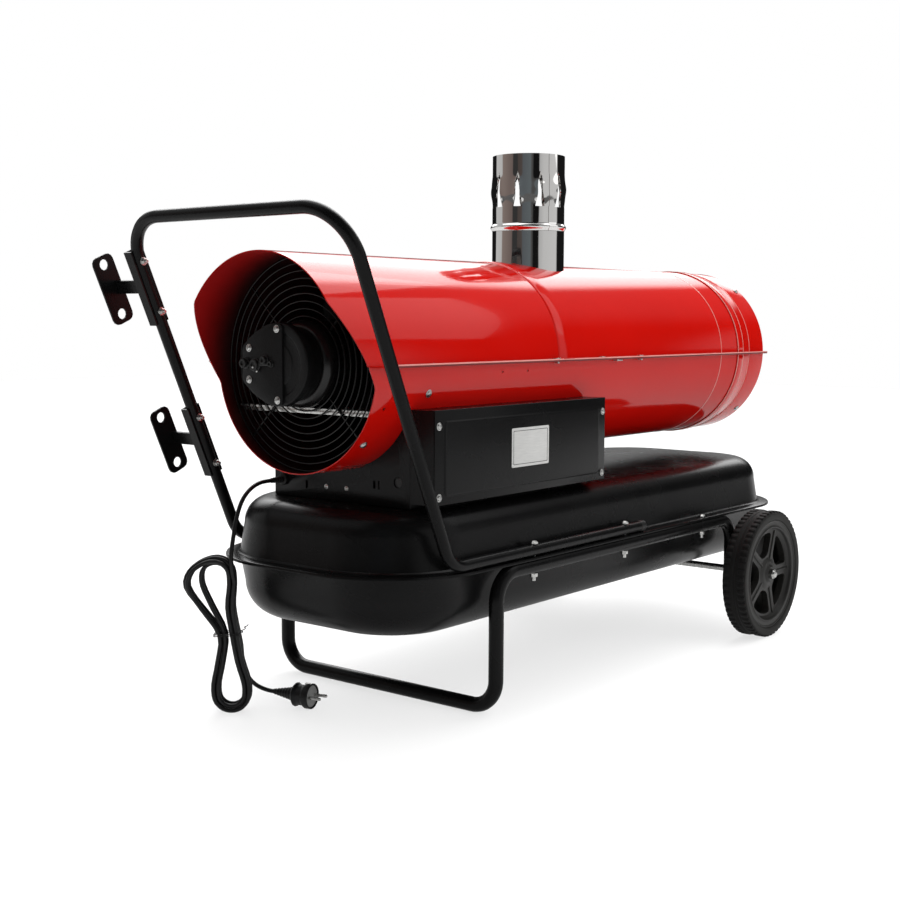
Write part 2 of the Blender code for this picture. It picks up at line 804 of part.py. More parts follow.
def make_exchanger():
    """The combustion chamber, the drum around it, and the cradles that hold the drum."""
    wall = sheet
    top = chamber_length
    low_dome = top - dome_depth
    waist = chamber_radius / 2
    profile = [(0, top), (waist, top - dome_depth / 4), (chamber_radius, low_dome), (chamber_radius, 0),
               (chamber_radius - wall, 0), (chamber_radius - wall, low_dome),
               (waist, top - dome_depth / 4 - wall), (0, top - wall)]
    turned("combustion_chamber", profile, 24, heat_steel, at(chamber_x, 0, casing_z, "+X"))
    top = exchanger_length
    edge = exchanger_radius - dome_depth
    hole = around(chamber_radius, 28)
    profile = [(0, top), (edge, top), (exchanger_radius, top - dome_depth), (exchanger_radius, 0),
               (hole, 0), (hole, wall), (exchanger_radius - wall, wall),
               (exchanger_radius - wall, top - dome_depth), (edge - wall / 2, top - wall), (0, top - wall)]
    drum = turned("heat_exchanger", profile, 28, heat_steel, at(exchanger_x, 0, casing_z, "+X"))
    smoke_hole = rod("smoke_opening", flue_radius - flue_wall, exchanger_radius, 20, None,
                     at(flue_x, 0, casing_z + chamber_radius))
    combine(drum, smoke_hole)
    inner = around(exchanger_radius, 28)
    outer = casing_inner - gap
    for word, share in (("front", 1 - cradle_share), ("rear", cradle_share)):
        outline = arc(0, 0, outer, -pi / 2 - cradle_angle, -pi / 2 + cradle_angle, 14)
        outline += arc(0, 0, inner, -pi / 2 + cradle_angle, -pi / 2 - cradle_angle, 14)
        place = Matrix.Translation((exchanger_x + share * exchanger_length, 0, casing_z))
        place = place @ Matrix.Rotation(pi / 2, 4, "Z") @ Matrix.Rotation(pi / 2, 4, "X")
        plate("exchanger_cradle_" + word, [outline], cradle_thickness, heat_steel, place)


def make_burner():
    """The burner head: a plate with a rim, a nozzle down the chamber and two struts to the casing."""
    back = burner_length / 6
    profile = [(0, burner_length + nozzle_length), (nozzle_radius / 2, burner_length + nozzle_length),
               (nozzle_radius, burner_length), (nozzle_radius, back), (burner_radius - sheet, back),
               (burner_radius - sheet, burner_length), (burner_radius, burner_length),
               (burner_radius, 0), (0, 0)]
    head = turned("burner_head", profile, 20, heat_steel, at(burner_x, 0, casing_z, "+X"))
    reach = casing_inner - gap
    low_x = burner_x + back
    for sign, word in ((-1, "near"), (1, "far")):
        edges = sorted((sign * (burner_radius - sheet / 2), sign * reach))
        strut = block("burner_strut_" + word, (low_x, edges[0], casing_z - sheet),
                      (low_x + strut_width, edges[1], casing_z + sheet), None)
        combine(head, strut, "UNION")


def make_flue():
    """The flue pipe: a bead above the casing, and a cage of slots under its open top."""
    bottom = casing_z + exchanger_radius * 0.8
    outer = flue_radius
    inner = flue_radius - flue_wall
    swollen = outer + cage_swell
    middle = (slot_low_z + slot_high_z) / 2
    crown = flue_bead_z + flue_bead_half
    foot = flue_bead_z - flue_bead_half
    ridge = outer + flue_bead_height
    skin = [(outer, flue_top_z), (outer, slot_high_z), (swollen, middle), (outer, slot_low_z),
            (outer, crown), (ridge, flue_bead_z + flue_bead_half / 2),
            (ridge, flue_bead_z - flue_bead_half / 2), (outer, foot), (outer, bottom)]
    lining = [(radius - flue_wall, z) for radius, z in reversed(skin)]
    pipe = turned("flue_pipe", skin + lining, flue_steps, mirror_steel, at(flue_x, 0, 0), closed=True)
    saddle_cut = rod("flue_foot_cut", exchanger_radius + gap, 4 * flue_radius, 28, None,
                     at(flue_x - 2 * flue_radius, 0, casing_z, "+X"))
    combine(pipe, saddle_cut)
    bm = bmesh.new()
    for i in range(slot_count):
        turn = Matrix.Rotation(2 * pi * (i + 0.5) / slot_count, 4, "Z")
        size = Matrix.Diagonal((flue_radius, slot_width, slot_high_z - slot_low_z, 1))
        bmesh.ops.create_cube(bm, size=1.0, matrix=turn @ Matrix.Translation((inner, 0, 0)) @ size)
    slots = add("flue_slots", mesh_of("flue_slots", bm, False), None, at(flue_x, 0, middle))
    combine(pipe, slots)


def make_saddle(casing_cut):
    """The sheet saddle between tank and casing: four walls whose tops follow the casing."""
    low = (leg_x - saddle_back, -saddle_near_y, tank_top_z + gap)
    high = (leg_x + saddle_ahead, saddle_far_y, casing_z - casing_radius / 3)
    saddle = block("saddle", low, high, black_paint)
    inside_low = (low[0] + sheet, low[1] + sheet, low[2] - overrun)
    inside_high = (high[0] - sheet, high[1] - sheet, high[2] + overrun)
    combine(saddle, block("saddle_inside", inside_low, inside_high, None))
    combine(saddle, casing_cut)
    return saddle


def make_control_box(casing_cut):
    """The near side box: an open tray, its pressed cover, a bare label and the board inside."""
    low_x = leg_x - saddle_back
    high_x = leg_x + saddle_ahead
    back = -saddle_near_y - gap
    tray = block("control_box_body", (low_x, -box_near_y, box_low_z), (high_x, back, box_high_z),
                 black_paint)
    inside = block("control_box_inside", (low_x + sheet, -box_near_y - overrun, box_low_z + sheet),
                   (high_x - sheet, back - sheet, box_high_z - sheet), None)
    combine(tray, inside)
    combine(tray, casing_cut)
    face = -box_near_y - gap
    bm = bmesh.new()
    bmesh.ops.create_cube(bm, size=1.0)
    size = Vector((high_x - low_x, sheet, box_high_z - box_low_z))
    bmesh.ops.scale(bm, vec=size, verts=bm.verts)
    front = [one for one in bm.faces if one.normal.y < -0.5]
    bmesh.ops.inset_region(bm, faces=front, thickness=cover_field_inset)
    raised = bmesh.ops.inset_region(bm, faces=front, thickness=cover_field_height,
                                    depth=cover_field_height)
    centre = Vector(((low_x + high_x) / 2, face - sheet / 2, (box_low_z + box_high_z) / 2))
    add("control_box_cover", mesh_of("control_box_cover", bm, False), black_paint,
        Matrix.Translation(centre))
    outer = face - sheet - cover_field_height - gap
    middle_x = leg_x + label_ahead
    block("rating_label", (middle_x - label_width / 2, outer - label_thickness, label_z - label_height / 2),
          (middle_x + label_width / 2, outer, label_z + label_height / 2), label_foil)
    board_x = leg_x + label_ahead
    board_low = (board_x - board_size[0] / 2, back - sheet - gap - board_size[1], box_low_z + sheet + gap)
    board_high = (board_x + board_size[0] / 2, back - sheet - gap, board_low[2] + board_size[2])
    block("control_board", board_low, board_high, board_green)
    trafo_low = Vector((low_x + sheet + gap, -saddle_near_y + sheet + gap, tank_top_z + gap))
    block("ignition_transformer", trafo_low, trafo_low + Vector(transformer_size), black_plastic,
          rounding=bolt_radius)


def make_panel(saddle):
    """The operating panel on the far side, with its rocker switch, knob and display window."""
    low_x = leg_x - saddle_back + panel_back_share * (saddle_back + saddle_ahead)
    wall_y = saddle_far_y + gap
    face_y = wall_y + panel_thickness
    middle_z = panel_low_z + panel_height / 2
    panel = block("control_panel", (low_x, wall_y, panel_low_z),
                  (low_x + panel_width, face_y, panel_low_z + panel_height), black_plastic,
                  rounding=cover_field_height / 2)
    switch_x = low_x + panel_width / 5
    half_x = switch_hole_width / 2
    half_z = switch_hole_height / 2
    hole = block("switch_hole", (switch_x - half_x, saddle_far_y - overrun, middle_z - half_z),
                 (switch_x + half_x, face_y + overrun, middle_z + half_z), None)
    combine(panel, hole)
    combine(saddle, hole)
    reach = half_z - 2 * switch_clear
    depth = half_z / 2
    outline = [(reach * cos(switch_throw), 0), (0, switch_proud / 2),
               (-reach * cos(switch_throw), switch_proud), (-reach / 2, -depth), (reach / 2, -depth)]
    place = Matrix.Translation((switch_x, face_y, middle_z)) @ Matrix((
        (0, 0, 1, 0), (0, 1, 0, 0), (-1, 0, 0, 0), (0, 0, 0, 1)))
    plate("power_switch", [outline], switch_hole_width - 2 * switch_clear, black_plastic, place)
    knob_x = low_x + panel_width * 2 / 5 + knob_radius
    profile = [(0, knob_height), (knob_radius * 3 / 4, knob_height),
               (knob_radius * 5 / 6, knob_height - sheet), (knob_radius, sheet), (knob_radius, 0), (0, 0)]
    turned("thermostat_knob", profile, 20, black_plastic, at(knob_x, face_y + gap, middle_z, "+Y"))
    window_x = low_x + panel_width * 4 / 5
    block("display_window", (window_x - window_width / 2, face_y + gap, middle_z - window_height / 2),
          (window_x + window_width / 2, face_y + gap + window_thickness, middle_z + window_height / 2),
          clear_window)


def make_inlet_end():
    """Compressor, motor, motor bracket, fan and fan guard, all on the casing's axis."""
    face = leg_x - pump_face_back
    axis_place = at(face, 0, casing_z, "+X")
    step = pump_cover_depth
    length = pump_cover_depth + pump_depth
    profile = [(0, length), (pump_radius, length), (pump_radius, step), (pump_cover_radius, step),
               (pump_cover_radius, sheet), (pump_cover_radius - sheet, 0), (0, 0)]
    turned("air_pump", profile, 28, cast_alloy, axis_place)
    bore = shaft_radius + gap
    top = motor_length
    profile = [(motor_radius - motor_round, top), (motor_radius, top - motor_round),
               (motor_radius, motor_round), (motor_radius - motor_round, 0), (0, 0),
               (0, top - shaft_in_motor - 2 * gap), (bore, top - shaft_in_motor - 2 * gap), (bore, top)]
    profile = profile[-1:] + profile[:5]
    blind = rod("motor_bore", bore, shaft_in_motor + gap + overrun, 14, None,
                at(motor_x + top - shaft_in_motor - gap, 0, casing_z, "+X"))
    profile = [(0, top)] + profile[1:]
    motor = turned("fan_motor", profile, 28, cast_alloy, at(motor_x, 0, casing_z, "+X"))
    combine(motor, blind)
    low_z = casing_z - motor_radius - gap - bracket_thickness
    half_y = sqrt(casing_inner ** 2 - (casing_z - low_z) ** 2) - gap
    middle_x = motor_x + motor_length / 2
    block("motor_bracket", (middle_x - bracket_width / 2, -half_y, low_z),
          (middle_x + bracket_width / 2, half_y, low_z + bracket_thickness), zinc_steel)
    make_guard()
    make_fan()


def make_guard():
    """The fan guard: wire rings on radial rods, fixed inside the casing's inlet."""
    half = guard_wire / 2
    mesh = bpy.data.meshes.new("fan_guard")
    points = []
    edges = []
    for ring in range(guard_rings):
        radius = guard_inner + (guard_outer - guard_inner) * ring / (guard_rings - 1)
        first = len(points)
        for corner in range(3):
            turn = pi / 2 - corner * 2 * pi / 3
            points.append((radius + half * cos(turn), 0, half * sin(turn)))
            edges.append((first + corner, first + (corner + 1) % 3))
    mesh.from_pydata(points, edges, [])
    guard = add("fan_guard", mesh, black_paint, at(guard_x, 0, casing_z, "+X"))
    screw_round(guard, guard_steps)
    bm = bmesh.new()
    reach = guard_outer - guard_inner + half
    for i in range(guard_rods):
        turn = Matrix.Rotation(2 * pi * (i + 0.5) / guard_rods, 4, "Z")
        size = Matrix.Diagonal((reach, guard_rod, guard_rod, 1))
        place = Matrix.Translation(((guard_inner + guard_outer) / 2, 0, half / 2))
        bmesh.ops.create_cube(bm, size=1.0, matrix=turn @ place @ size)
    rods = add("guard_rods", mesh_of("guard_rods", bm, False), None, at(guard_x, 0, casing_z, "+X"))
    combine(guard, rods, "UNION")


def make_fan():
    """The fan: its shaft runs in the motor, its pitched blades are joined to the hub."""
    hub_x = leg_x - fan_hub_back
    shaft_low = motor_x + motor_length - shaft_in_motor - hub_x
    profile = [(0, fan_hub_length), (fan_hub_radius * 3 / 4, fan_hub_length),
               (fan_hub_radius, fan_hub_length * 3 / 4), (fan_hub_radius, 0), (shaft_radius, 0),
               (shaft_radius, shaft_low), (0, shaft_low)]
    fan = turned("fan", profile, 20, black_plastic, at(hub_x, 0, casing_z, "+X"))
    bm = bmesh.new()
    start = fan_hub_radius * 4 / 5
    for i in range(blade_count):
        turn = Matrix.Rotation(2 * pi * i / blade_count, 4, "Z")
        pitch = Matrix.Rotation(blade_pitch, 4, "X")
        size = Matrix.Diagonal((fan_radius - start, blade_chord, blade_thickness, 1))
        place = Matrix.Translation(((fan_radius + start) / 2, 0, fan_hub_length / 2))
        bmesh.ops.create_cube(bm, size=1.0, matrix=turn @ place @ pitch @ size)
    blades = add("fan_blades", mesh_of("fan_blades", bm, False), None, at(hub_x, 0, casing_z, "+X"))
    combine(fan, blades, "UNION")


def make_fuel_fittings():
    """Filler neck with strainer and cap, fuel gauge, pickup pipe and the line to the burner."""
    x = leg_x + filler_ahead
    seat = tank_top_z + gap
    inner = filler_radius - sheet
    profile = [(filler_radius, seat + filler_height), (filler_radius, seat + sheet),
               (filler_flange, seat + sheet), (filler_flange, seat), (filler_radius, seat),
               (filler_radius, seat - filler_height), (inner, seat - filler_height),
               (inner, seat + filler_height)]
    turned("filler_neck", profile, 18, zinc_steel, at(x, filler_y, 0), closed=True)
    rim = seat + filler_height + gap
    mesh_top = rim + sheet
    low = rim - strainer_depth
    profile = [(filler_radius, mesh_top), (filler_radius, rim), (strainer_radius, rim),
               (strainer_radius, low), (0, low), (0, low + sheet), (strainer_radius - sheet, low + sheet),
               (strainer_radius - sheet, mesh_top)]
    profile = profile[5:] + profile[:5]
    turned("fuel_strainer", profile, 16, zinc_steel, at(x, filler_y, 0))
    skirt = seat + sheet + gap
    top = skirt + cap_height
    bore = filler_radius + 2 * gap
    roof = mesh_top + gap
    profile = [(0, top), (cap_radius - cap_wall / 2, top), (cap_radius, top - cap_wall / 2),
               (cap_radius, skirt), (bore, skirt), (bore, roof), (0, roof)]
    turned("filler_cap", profile, 20, black_plastic, at(x, filler_y, 0))
    x = leg_x + gauge_ahead
    profile = [(0, seat + gauge_height), (gauge_radius - sheet, seat + gauge_height),
               (gauge_radius, seat + gauge_height - sheet), (gauge_radius, seat), (gauge_stem, seat),
               (gauge_stem, seat - gauge_reach), (0, seat - gauge_reach)]
    turned("fuel_gauge", profile, 20, black_plastic, at(x, filler_y, 0))
    x = burner_x + burner_length / 2
    foot = tank_floor_z + sheet + pickup_above_floor
    nut_top = seat + pickup_nut_height
    profile = [(0, nut_top), (pickup_nut, nut_top), (pickup_nut, seat), (pickup_radius, seat),
               (pickup_radius, foot + pickup_filter_length), (pickup_filter, foot + pickup_filter_length),
               (pickup_filter, foot), (0, foot)]
    turned("fuel_pickup", profile, 12, zinc_steel, at(x, 0, 0))
    low = nut_top + gap
    facet = cos(pi / 20)
    rod("fuel_line", fuel_line_radius, casing_z - burner_radius - gap - low, 10, black_plastic,
        at(x, 0, low))


def make_cord_brackets(handle):
    """Two hangers on the far side of the handle: a channel on the tube, an arm and a hook plate."""
    top = Vector((leg_x - handle_top_back, rail_y, handle_top_z))
    foot = Vector((leg_x - handle_foot_back, rail_y, handle_rail_z))
    down = (foot - top).normalized()
    outward = Vector((0, 1, 0))
    across = down.cross(outward)
    half = handle_tube / 2 + gap
    wall = half + channel_wall
    for word, share in (("upper", bracket_down_shares[0]), ("lower", bracket_down_shares[1])):
        centre = top + (foot - top) * share
        place = Matrix.Translation(centre) @ Matrix((
            (across.x, outward.x, down.x, 0), (across.y, outward.y, down.y, 0),
            (across.z, outward.z, down.z, 0), (0, 0, 0, 1)))
        lip = half - channel_leg
        outline = [(-wall, lip), (-half, lip), (-half, half), (half, half), (half, lip), (wall, lip),
                   (wall, wall), (-wall, wall)]
        channel = as_mesh(plate("cord_bracket_" + word, [outline], channel_length, black_paint, place))
        arm = block("bracket_arm_" + word, (-arm_thickness / 2, wall - channel_wall / 2, -arm_width / 2),
                    (arm_thickness / 2, wall + arm_length + hook_thickness / 2, arm_width / 2), None)
        arm.matrix_world = place @ arm.matrix_world
        ends = [arc(0, side * hook_hole_span / 2, hook_hole, 0, 2 * pi * 11 / 12, 11) for side in (-1, 1)]
        shape = rounded_rectangle(hook_width / 2, hook_length / 2, hook_corner, 3)
        hook_place = place @ Matrix.Translation((-hook_shift, wall + arm_length + hook_thickness / 2, 0))
        hook_place = hook_place @ Matrix.Rotation(pi / 2, 4, "X")
        hook = as_mesh(plate("bracket_hook_" + word, [shape] + ends, hook_thickness, None, hook_place))
        combine(channel, arm, "UNION")
        combine(channel, hook, "UNION")


def hank_curve(turn):
    """The inner loop of the hank and its outward normal: a long loop drawn in at the waist."""
    fold = sqrt(hank_fold_share * cord_diameter * hank_half_height)
    waist = hank_pitch / 2
    x = sin(turn) * (waist + (fold - waist) * cos(turn) ** 2)
    z = -hank_half_height * cos(turn)
    slope_x = cos(turn) * (waist + (fold - waist) * cos(turn) ** 2)
    slope_x -= 2 * (fold - waist) * sin(turn) ** 2 * cos(turn)
    slope_z = hank_half_height * sin(turn)
    length = hypot(slope_x, slope_z)
    return x, z, slope_z / length, -slope_x / length


def hank_points():
    """One unbroken run: loops that spiral in and out, and climb a layer along a run.

    The outer loops hang loose at the upper left, as they do on the real hank.
    """
    per_layer = 2 * pi * hank_turns_per_layer
    step = 2 * pi / hank_loop_points
    count = round(per_layer * hank_layers / step)
    points = []
    for index in range(-hank_steps_before, count + hank_steps_after + 1):
        walked = index * step
        share = walked / per_layer
        layer = min(max(floor(share), 0), hank_layers - 1)
        phase = share - layer
        spiral = hank_turns_per_layer * (1 - phase if layer % 2 == 0 else phase)
        climb = 0.0
        for reversal in range(1, hank_layers):
            along = (walked - reversal * per_layer) / pi + 0.5
            along = min(max(along, 0.0), 1.0)
            climb += along * along * (3 - 2 * along)
        angle = pi / 2 - walked
        turn = angle - hank_fold_crowding_share * sin(2 * angle)
        x, z, normal_x, normal_z = hank_curve(turn)
        offset = spiral * (hank_pitch + hank_waist_extra * sin(turn) ** 8)
        loose = spiral / hank_turns_per_layer * (2 * max(-sin(turn), 0) * max(-cos(turn), 0)) ** 2
        height = z + normal_z * offset
        risen = min(max(height / hank_bulge_height, 0.0), 1.0)
        sway = hank_sway * risen * risen * (3 - 2 * risen)
        points.append(Vector((x + normal_x * offset - hank_swing * loose - sway,
                              (climb - (hank_layers - 1) / 2) * hank_pitch, height)))
    return points


def least_gap(points, diameter):
    """The least gap between stretches of one cord that aren't next to each other."""
    fine = []
    for p, q in zip(points, points[1:]):
        steps = max(1, round((q - p).length / (diameter / 2)))
        fine += [p.lerp(q, i / steps) for i in range(steps)]
    reach = round(5 * diameter / (diameter / 2))
    least = min((fine[i] - fine[j]).length for i in range(len(fine)) for j in range(i + reach, len(fine)))
    return least - diameter


def waist_size(points):
    """Half the width and depth of the bundle of cords that the tie goes round."""
    half = tie_height / 2
    held = []
    for p, q in zip(points, points[1:]):
        held += [p.lerp(q, i / 40) for i in range(41) if abs(p.lerp(q, i / 40).z) < half]
    clear = cord_diameter / 2 + 2 * gap
    return max(abs(point.x) for point in held) + clear, max(abs(point.y) for point in held) + clear


def make_cord():
    """The mains lead: gland, free stretch, tied hank on the floor, tail and plug."""
    turn = Matrix.Rotation(hank_turn, 4, "Z") @ Matrix.Rotation(hank_lean, 4, "Y")
    loops = [turn @ point for point in hank_points()]
    lift = cord_diameter / 2 + gap - min(point.z for point in loops)
    centre = Vector((hank_x, hank_y, lift))
    loops = [point + centre for point in loops]
    print("hank gap to itself %.2f mm" % (1000 * least_gap(loops, cord_diameter)))
    tube("power_cord_hank", loops, cord_diameter, cord_rubber, 1)
    half_x, half_y = waist_size(hank_points())
    outer = rounded_rectangle(half_x + tie_thickness, half_y + tie_thickness, cord_diameter / 2, 3)
    inner = rounded_rectangle(half_x, half_y, cord_diameter / 2 - tie_thickness, 3)
    plate("cord_tie", [outer, inner], tie_height, black_plastic, Matrix.Translation(centre) @ turn)
    wall_x = leg_x - saddle_back - gap
    tip = cord_diameter / 2 + gap
    profile = [(0, gland_length), (tip, gland_length), (tip + gland_rim, gland_rim),
               (gland_flange, gland_rim), (gland_flange, 0), (0, 0)]
    turned("cord_gland", profile, 16, black_plastic, at(wall_x, gland_y, gland_z, "-X"))
    start = Vector((wall_x - gland_length - gap, gland_y, gland_z))
    end = loops[0] + (loops[0] - loops[1]).normalized() * gap
    above = (loops[0] - loops[1]).normalized()
    route = [start, start + Vector((-cord_diameter, 0, 0))]
    route += [(leg_x + x, y, z) for x, y, z in lead_route]
    route += [end + above * cord_diameter, end]
    points, length = smooth_route(route, 2.2 * cord_diameter)
    tube("power_cord_lead", points, cord_diameter, cord_rubber, 2)
    heading = Vector((cos(plug_turn), sin(plug_turn), 0))
    plug_length = plug_relief + plug_body
    base = Vector((plug_x, plug_y, plug_radius + gap)) - heading * plug_length
    leave = (loops[-1] - loops[-2]).normalized()
    first = loops[-1] + leave * gap
    last = base - heading * gap
    route = [first, first + leave * cord_diameter]
    route += [Vector((leg_x + x, y, z)) for x, y, z in tail_route]
    route += [last - heading * cord_diameter, last]
    tail, tail_length = smooth_route(route, 2.2 * cord_diameter)
    tube("power_cord_tail", tail, cord_diameter, cord_rubber, 2)
    loop_length = sum((q - p).length for p, q in zip(loops, loops[1:]))
    print("cord length %.3f m: lead %.3f, hank %.3f, tail %.3f"
          % (length + loop_length + tail_length, length, loop_length, tail_length))
    profile = [(0, plug_length), (plug_radius, plug_length), (plug_radius, plug_relief + sheet),
               (plug_radius * 3 / 4, plug_relief), (plug_relief_tip * 3 / 2, plug_relief * 3 / 4),
               (plug_relief_tip, 0), (0, 0)]
    place = Matrix.Translation(base) @ Matrix.Rotation(plug_turn, 4, "Z") @ AXIS_TURNS["+X"]
    plug = turned("power_plug", profile, 20, cord_rubber, place)
    for word, side in (("left", -1), ("right", 1)):
        pin = rod("plug_pin_" + word, pin_radius, pin_length + overrun, 10, None,
                  place @ Matrix.Translation((0, side * pin_half_span, plug_length - overrun)))
        combine(plug, pin, "UNION")


upper_shell, lower_shell = make_tank()
undercarriage = make_frame()
push_handle = make_handle()
make_bolts(undercarriage, push_handle, upper_shell, lower_shell)
make_axle()
make_wheel(-1, "near")
make_wheel(1, "far")
make_casing()
make_exchanger()
make_burner()
make_flue()
casing_cutter = rod("casing_cut", around(casing_radius, 44), tank_high_x - tank_low_x, 44, None,
                    at(tank_low_x, 0, casing_z, "+X"))
saddle_box = make_saddle(casing_cutter)
make_control_box(casing_cutter)
make_panel(saddle_box)
make_inlet_end()
make_fuel_fittings()
make_cord_brackets(push_handle)
make_cord()
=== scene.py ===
"""Looks of an indirect fired space heater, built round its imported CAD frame, in metres, +Z up.

Hot air leaves at +X, the fan end is at -X, and the control box is on the -Y side.
"""
from math import asin, cos, floor, hypot, pi, radians, sin, sqrt, tan

import bmesh
import bpy
from mathutils import Matrix, Vector


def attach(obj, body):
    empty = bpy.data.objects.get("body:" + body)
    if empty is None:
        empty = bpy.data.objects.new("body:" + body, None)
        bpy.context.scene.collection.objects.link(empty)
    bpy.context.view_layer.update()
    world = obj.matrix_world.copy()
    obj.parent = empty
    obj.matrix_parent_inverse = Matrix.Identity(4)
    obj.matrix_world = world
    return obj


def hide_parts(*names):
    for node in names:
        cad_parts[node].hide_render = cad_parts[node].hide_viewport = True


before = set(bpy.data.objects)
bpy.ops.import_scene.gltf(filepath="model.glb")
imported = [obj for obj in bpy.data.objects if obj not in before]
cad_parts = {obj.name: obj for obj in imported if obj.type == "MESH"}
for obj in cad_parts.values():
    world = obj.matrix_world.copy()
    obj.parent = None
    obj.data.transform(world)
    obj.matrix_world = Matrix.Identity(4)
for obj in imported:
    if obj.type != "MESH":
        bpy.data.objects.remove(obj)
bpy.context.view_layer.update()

# Camera: it stands behind the fan end, on the side of the control box, a little above the
# casing's axis, and looks slightly down.
camera_place = Vector((-1.8660, -1.3564, 0.5722))
camera_heading = radians(51.3373)
camera_dip = radians(5.5503)
camera_tilt = radians(0.2226)
film_width = 36
focal_length = 54.4924


def linked(name, data):
    """A new object of the scene."""
    thing = bpy.data.objects.new(name, data)
    bpy.context.scene.collection.objects.link(thing)
    return thing


ahead = Vector((sin(camera_heading) * cos(camera_dip), cos(camera_heading) * cos(camera_dip),
                -sin(camera_dip)))
level = Vector((cos(camera_heading), -sin(camera_heading), 0))
upright = level.cross(ahead)
right = level * cos(camera_tilt) + upright * sin(camera_tilt)
above = upright * cos(camera_tilt) - level * sin(camera_tilt)
lens = bpy.data.cameras.new("camera")
lens.sensor_width = film_width
lens.lens = focal_length
camera = linked("camera", lens)
camera.matrix_world = Matrix((
    (right.x, above.x, -ahead.x, camera_place.x), (right.y, above.y, -ahead.y, camera_place.y),
    (right.z, above.z, -ahead.z, camera_place.z), (0, 0, 0, 1)))
bpy.context.scene.camera = camera

# Mains lead: one black rubber cord. It leaves the gland in the saddle's end wall, drops to
# the floor, stands there as a tied hank, and ends in a plug.
gap = 0.0003
leg_x = -0.3268
saddle_back = 0.108
cord_diameter = 0.0062
gland_length = 0.0260
gland_y = 0.1080
gland_z = 0.3300
hank_back = 0.2241
hank_y = 0.1070
hank_half_height = 0.1030
hank_swing = 0.0260
hank_sway = 0.0130
hank_bulge_height = 0.0600
hank_fold_share = 3.05
hank_pitch = 0.0070
hank_waist_extra = 0.0003
hank_layers = 4
hank_turns_per_layer = 1.5
hank_loop_points = 24
hank_steps_before = 2
hank_fold_crowding_share = 0.30
hank_turn = radians(-51.3)
hank_lean = radians(-3)
route_steps = 24
route_spacing = 2.2 * cord_diameter
plug_back = 0.1400
plug_y = 0.0190
plug_turn = radians(-76)
plug_radius = 0.0187
plug_body = 0.0300
plug_relief = 0.0360
lead_route = ((-0.1580, 0.1080, 0.3285), (-0.1770, 0.1070, 0.3215), (-0.1960, 0.1040, 0.3070),
              (-0.2110, 0.1000, 0.2840), (-0.2205, 0.0970, 0.2570), (-0.2275, 0.0943, 0.2330),
              (-0.2284, 0.0922, 0.2110))
tail_route = ((-0.2004, 0.1041, 0.0929), (-0.1946, 0.1090, 0.0749), (-0.1872, 0.1139, 0.0572),
              (-0.1783, 0.1153, 0.0413), (-0.1693, 0.1111, 0.0286), (-0.1622, 0.1010, 0.0216))


class Wire:
    """An output socket of a node. Sums and products of it add Math nodes to its tree."""

    def __init__(self, owner, socket):
        self.owner = owner
        self.socket = socket

    def maths(self, operation, *values):
        return self.owner.node("ShaderNodeMath", {"operation": operation}, dict(enumerate(values)))

    def __add__(self, other):
        return self.maths("ADD", self, other)

    def __sub__(self, other):
        return self.maths("SUBTRACT", self, other)

    def __mul__(self, other):
        return self.maths("MULTIPLY", self, other)

    def __truediv__(self, other):
        return self.maths("DIVIDE", self, other)

    def __rsub__(self, other):
        return self.maths("SUBTRACT", other, self)

    __radd__ = __add__
    __rmul__ = __mul__


class Tree:
    """A node tree with one way to add a node: its type, its settings, then its sockets."""

    def __init__(self, tree):
        self.tree = tree

    def node(self, kind, settings=None, values=None, output=0):
        made = self.tree.nodes.new(kind)
        for name, value in (settings or {}).items():
            if name == "stops":
                self.set_stops(made.color_ramp.elements, value)
            else:
                setattr(made, name, value)
        for socket, value in (values or {}).items():
            self.feed(made.inputs[socket], value)
        return Wire(self, made.outputs[output])

    def mix(self, factor, one, two):
        """A mix of two colours, each a wire or three numbers."""
        one, two = (shade if isinstance(shade, Wire) else (*shade, 1.0) for shade in (one, two))
        return self.node("ShaderNodeMix", {"data_type": "RGBA"}, {0: factor, 6: one, 7: two}, 2)

    def eased(self, value, low, high, start=0.0, end=1.0):
        """A smooth step from start to end, while a value goes from low to high."""
        return self.node("ShaderNodeMapRange", {"interpolation_type": "SMOOTHSTEP"}, {
            "Value": value, "From Min": low, "From Max": high, "To Min": start, "To Max": end})

    def along_axes(self, vector):
        """The X, Y and Z of a vector."""
        split = self.node("ShaderNodeSeparateXYZ", {}, {0: vector}).socket.node
        return [Wire(self, socket) for socket in split.outputs]

    def set_stops(self, elements, stops):
        while len(elements) < len(stops):
            elements.new(0.5)
        for element, (place, shade) in zip(elements, stops):
            element.position = place
            element.color = (*(shade if isinstance(shade, tuple) else (shade,) * 3), 1.0)

    def feed(self, socket, value):
        if isinstance(value, Wire):
            self.tree.links.new(value.socket, socket)
        else:
            socket.default_value = value


class Finish(Tree):
    """A material: its Principled shader, and the noise and bumps that feed it."""

    def __init__(self, name, colour, roughness, metallic=0.0, **uniform):
        self.material = bpy.data.materials.new(name)
        self.material.use_nodes = True
        super().__init__(self.material.node_tree)
        self.shader = self.tree.nodes["Principled BSDF"]
        self.place = self.node("ShaderNodeTexCoord", output="Object")
        self.set("Base Color", (*colour, 1.0))
        self.set("Roughness", roughness)
        self.set("Metallic", metallic)
        for socket, value in uniform.items():
            self.set(socket.replace("_", " ").title().replace("Ior", "IOR"), value)

    def set(self, socket, value):
        self.feed(self.shader.inputs[socket], value)

    def noise(self, scale, detail=3.0, stretch=None):
        place = self.place
        if stretch:
            place = self.node("ShaderNodeMapping", {}, {"Vector": place, "Scale": stretch})
        return self.node("ShaderNodeTexNoise", {},
                         {"Vector": place, "Scale": scale, "Detail": detail})

    def bump(self, height, distance, strength=1.0):
        normal = self.node("ShaderNodeBump", {}, {"Height": height, "Distance": distance,
                                                  "Strength": strength})
        self.set("Normal", normal)


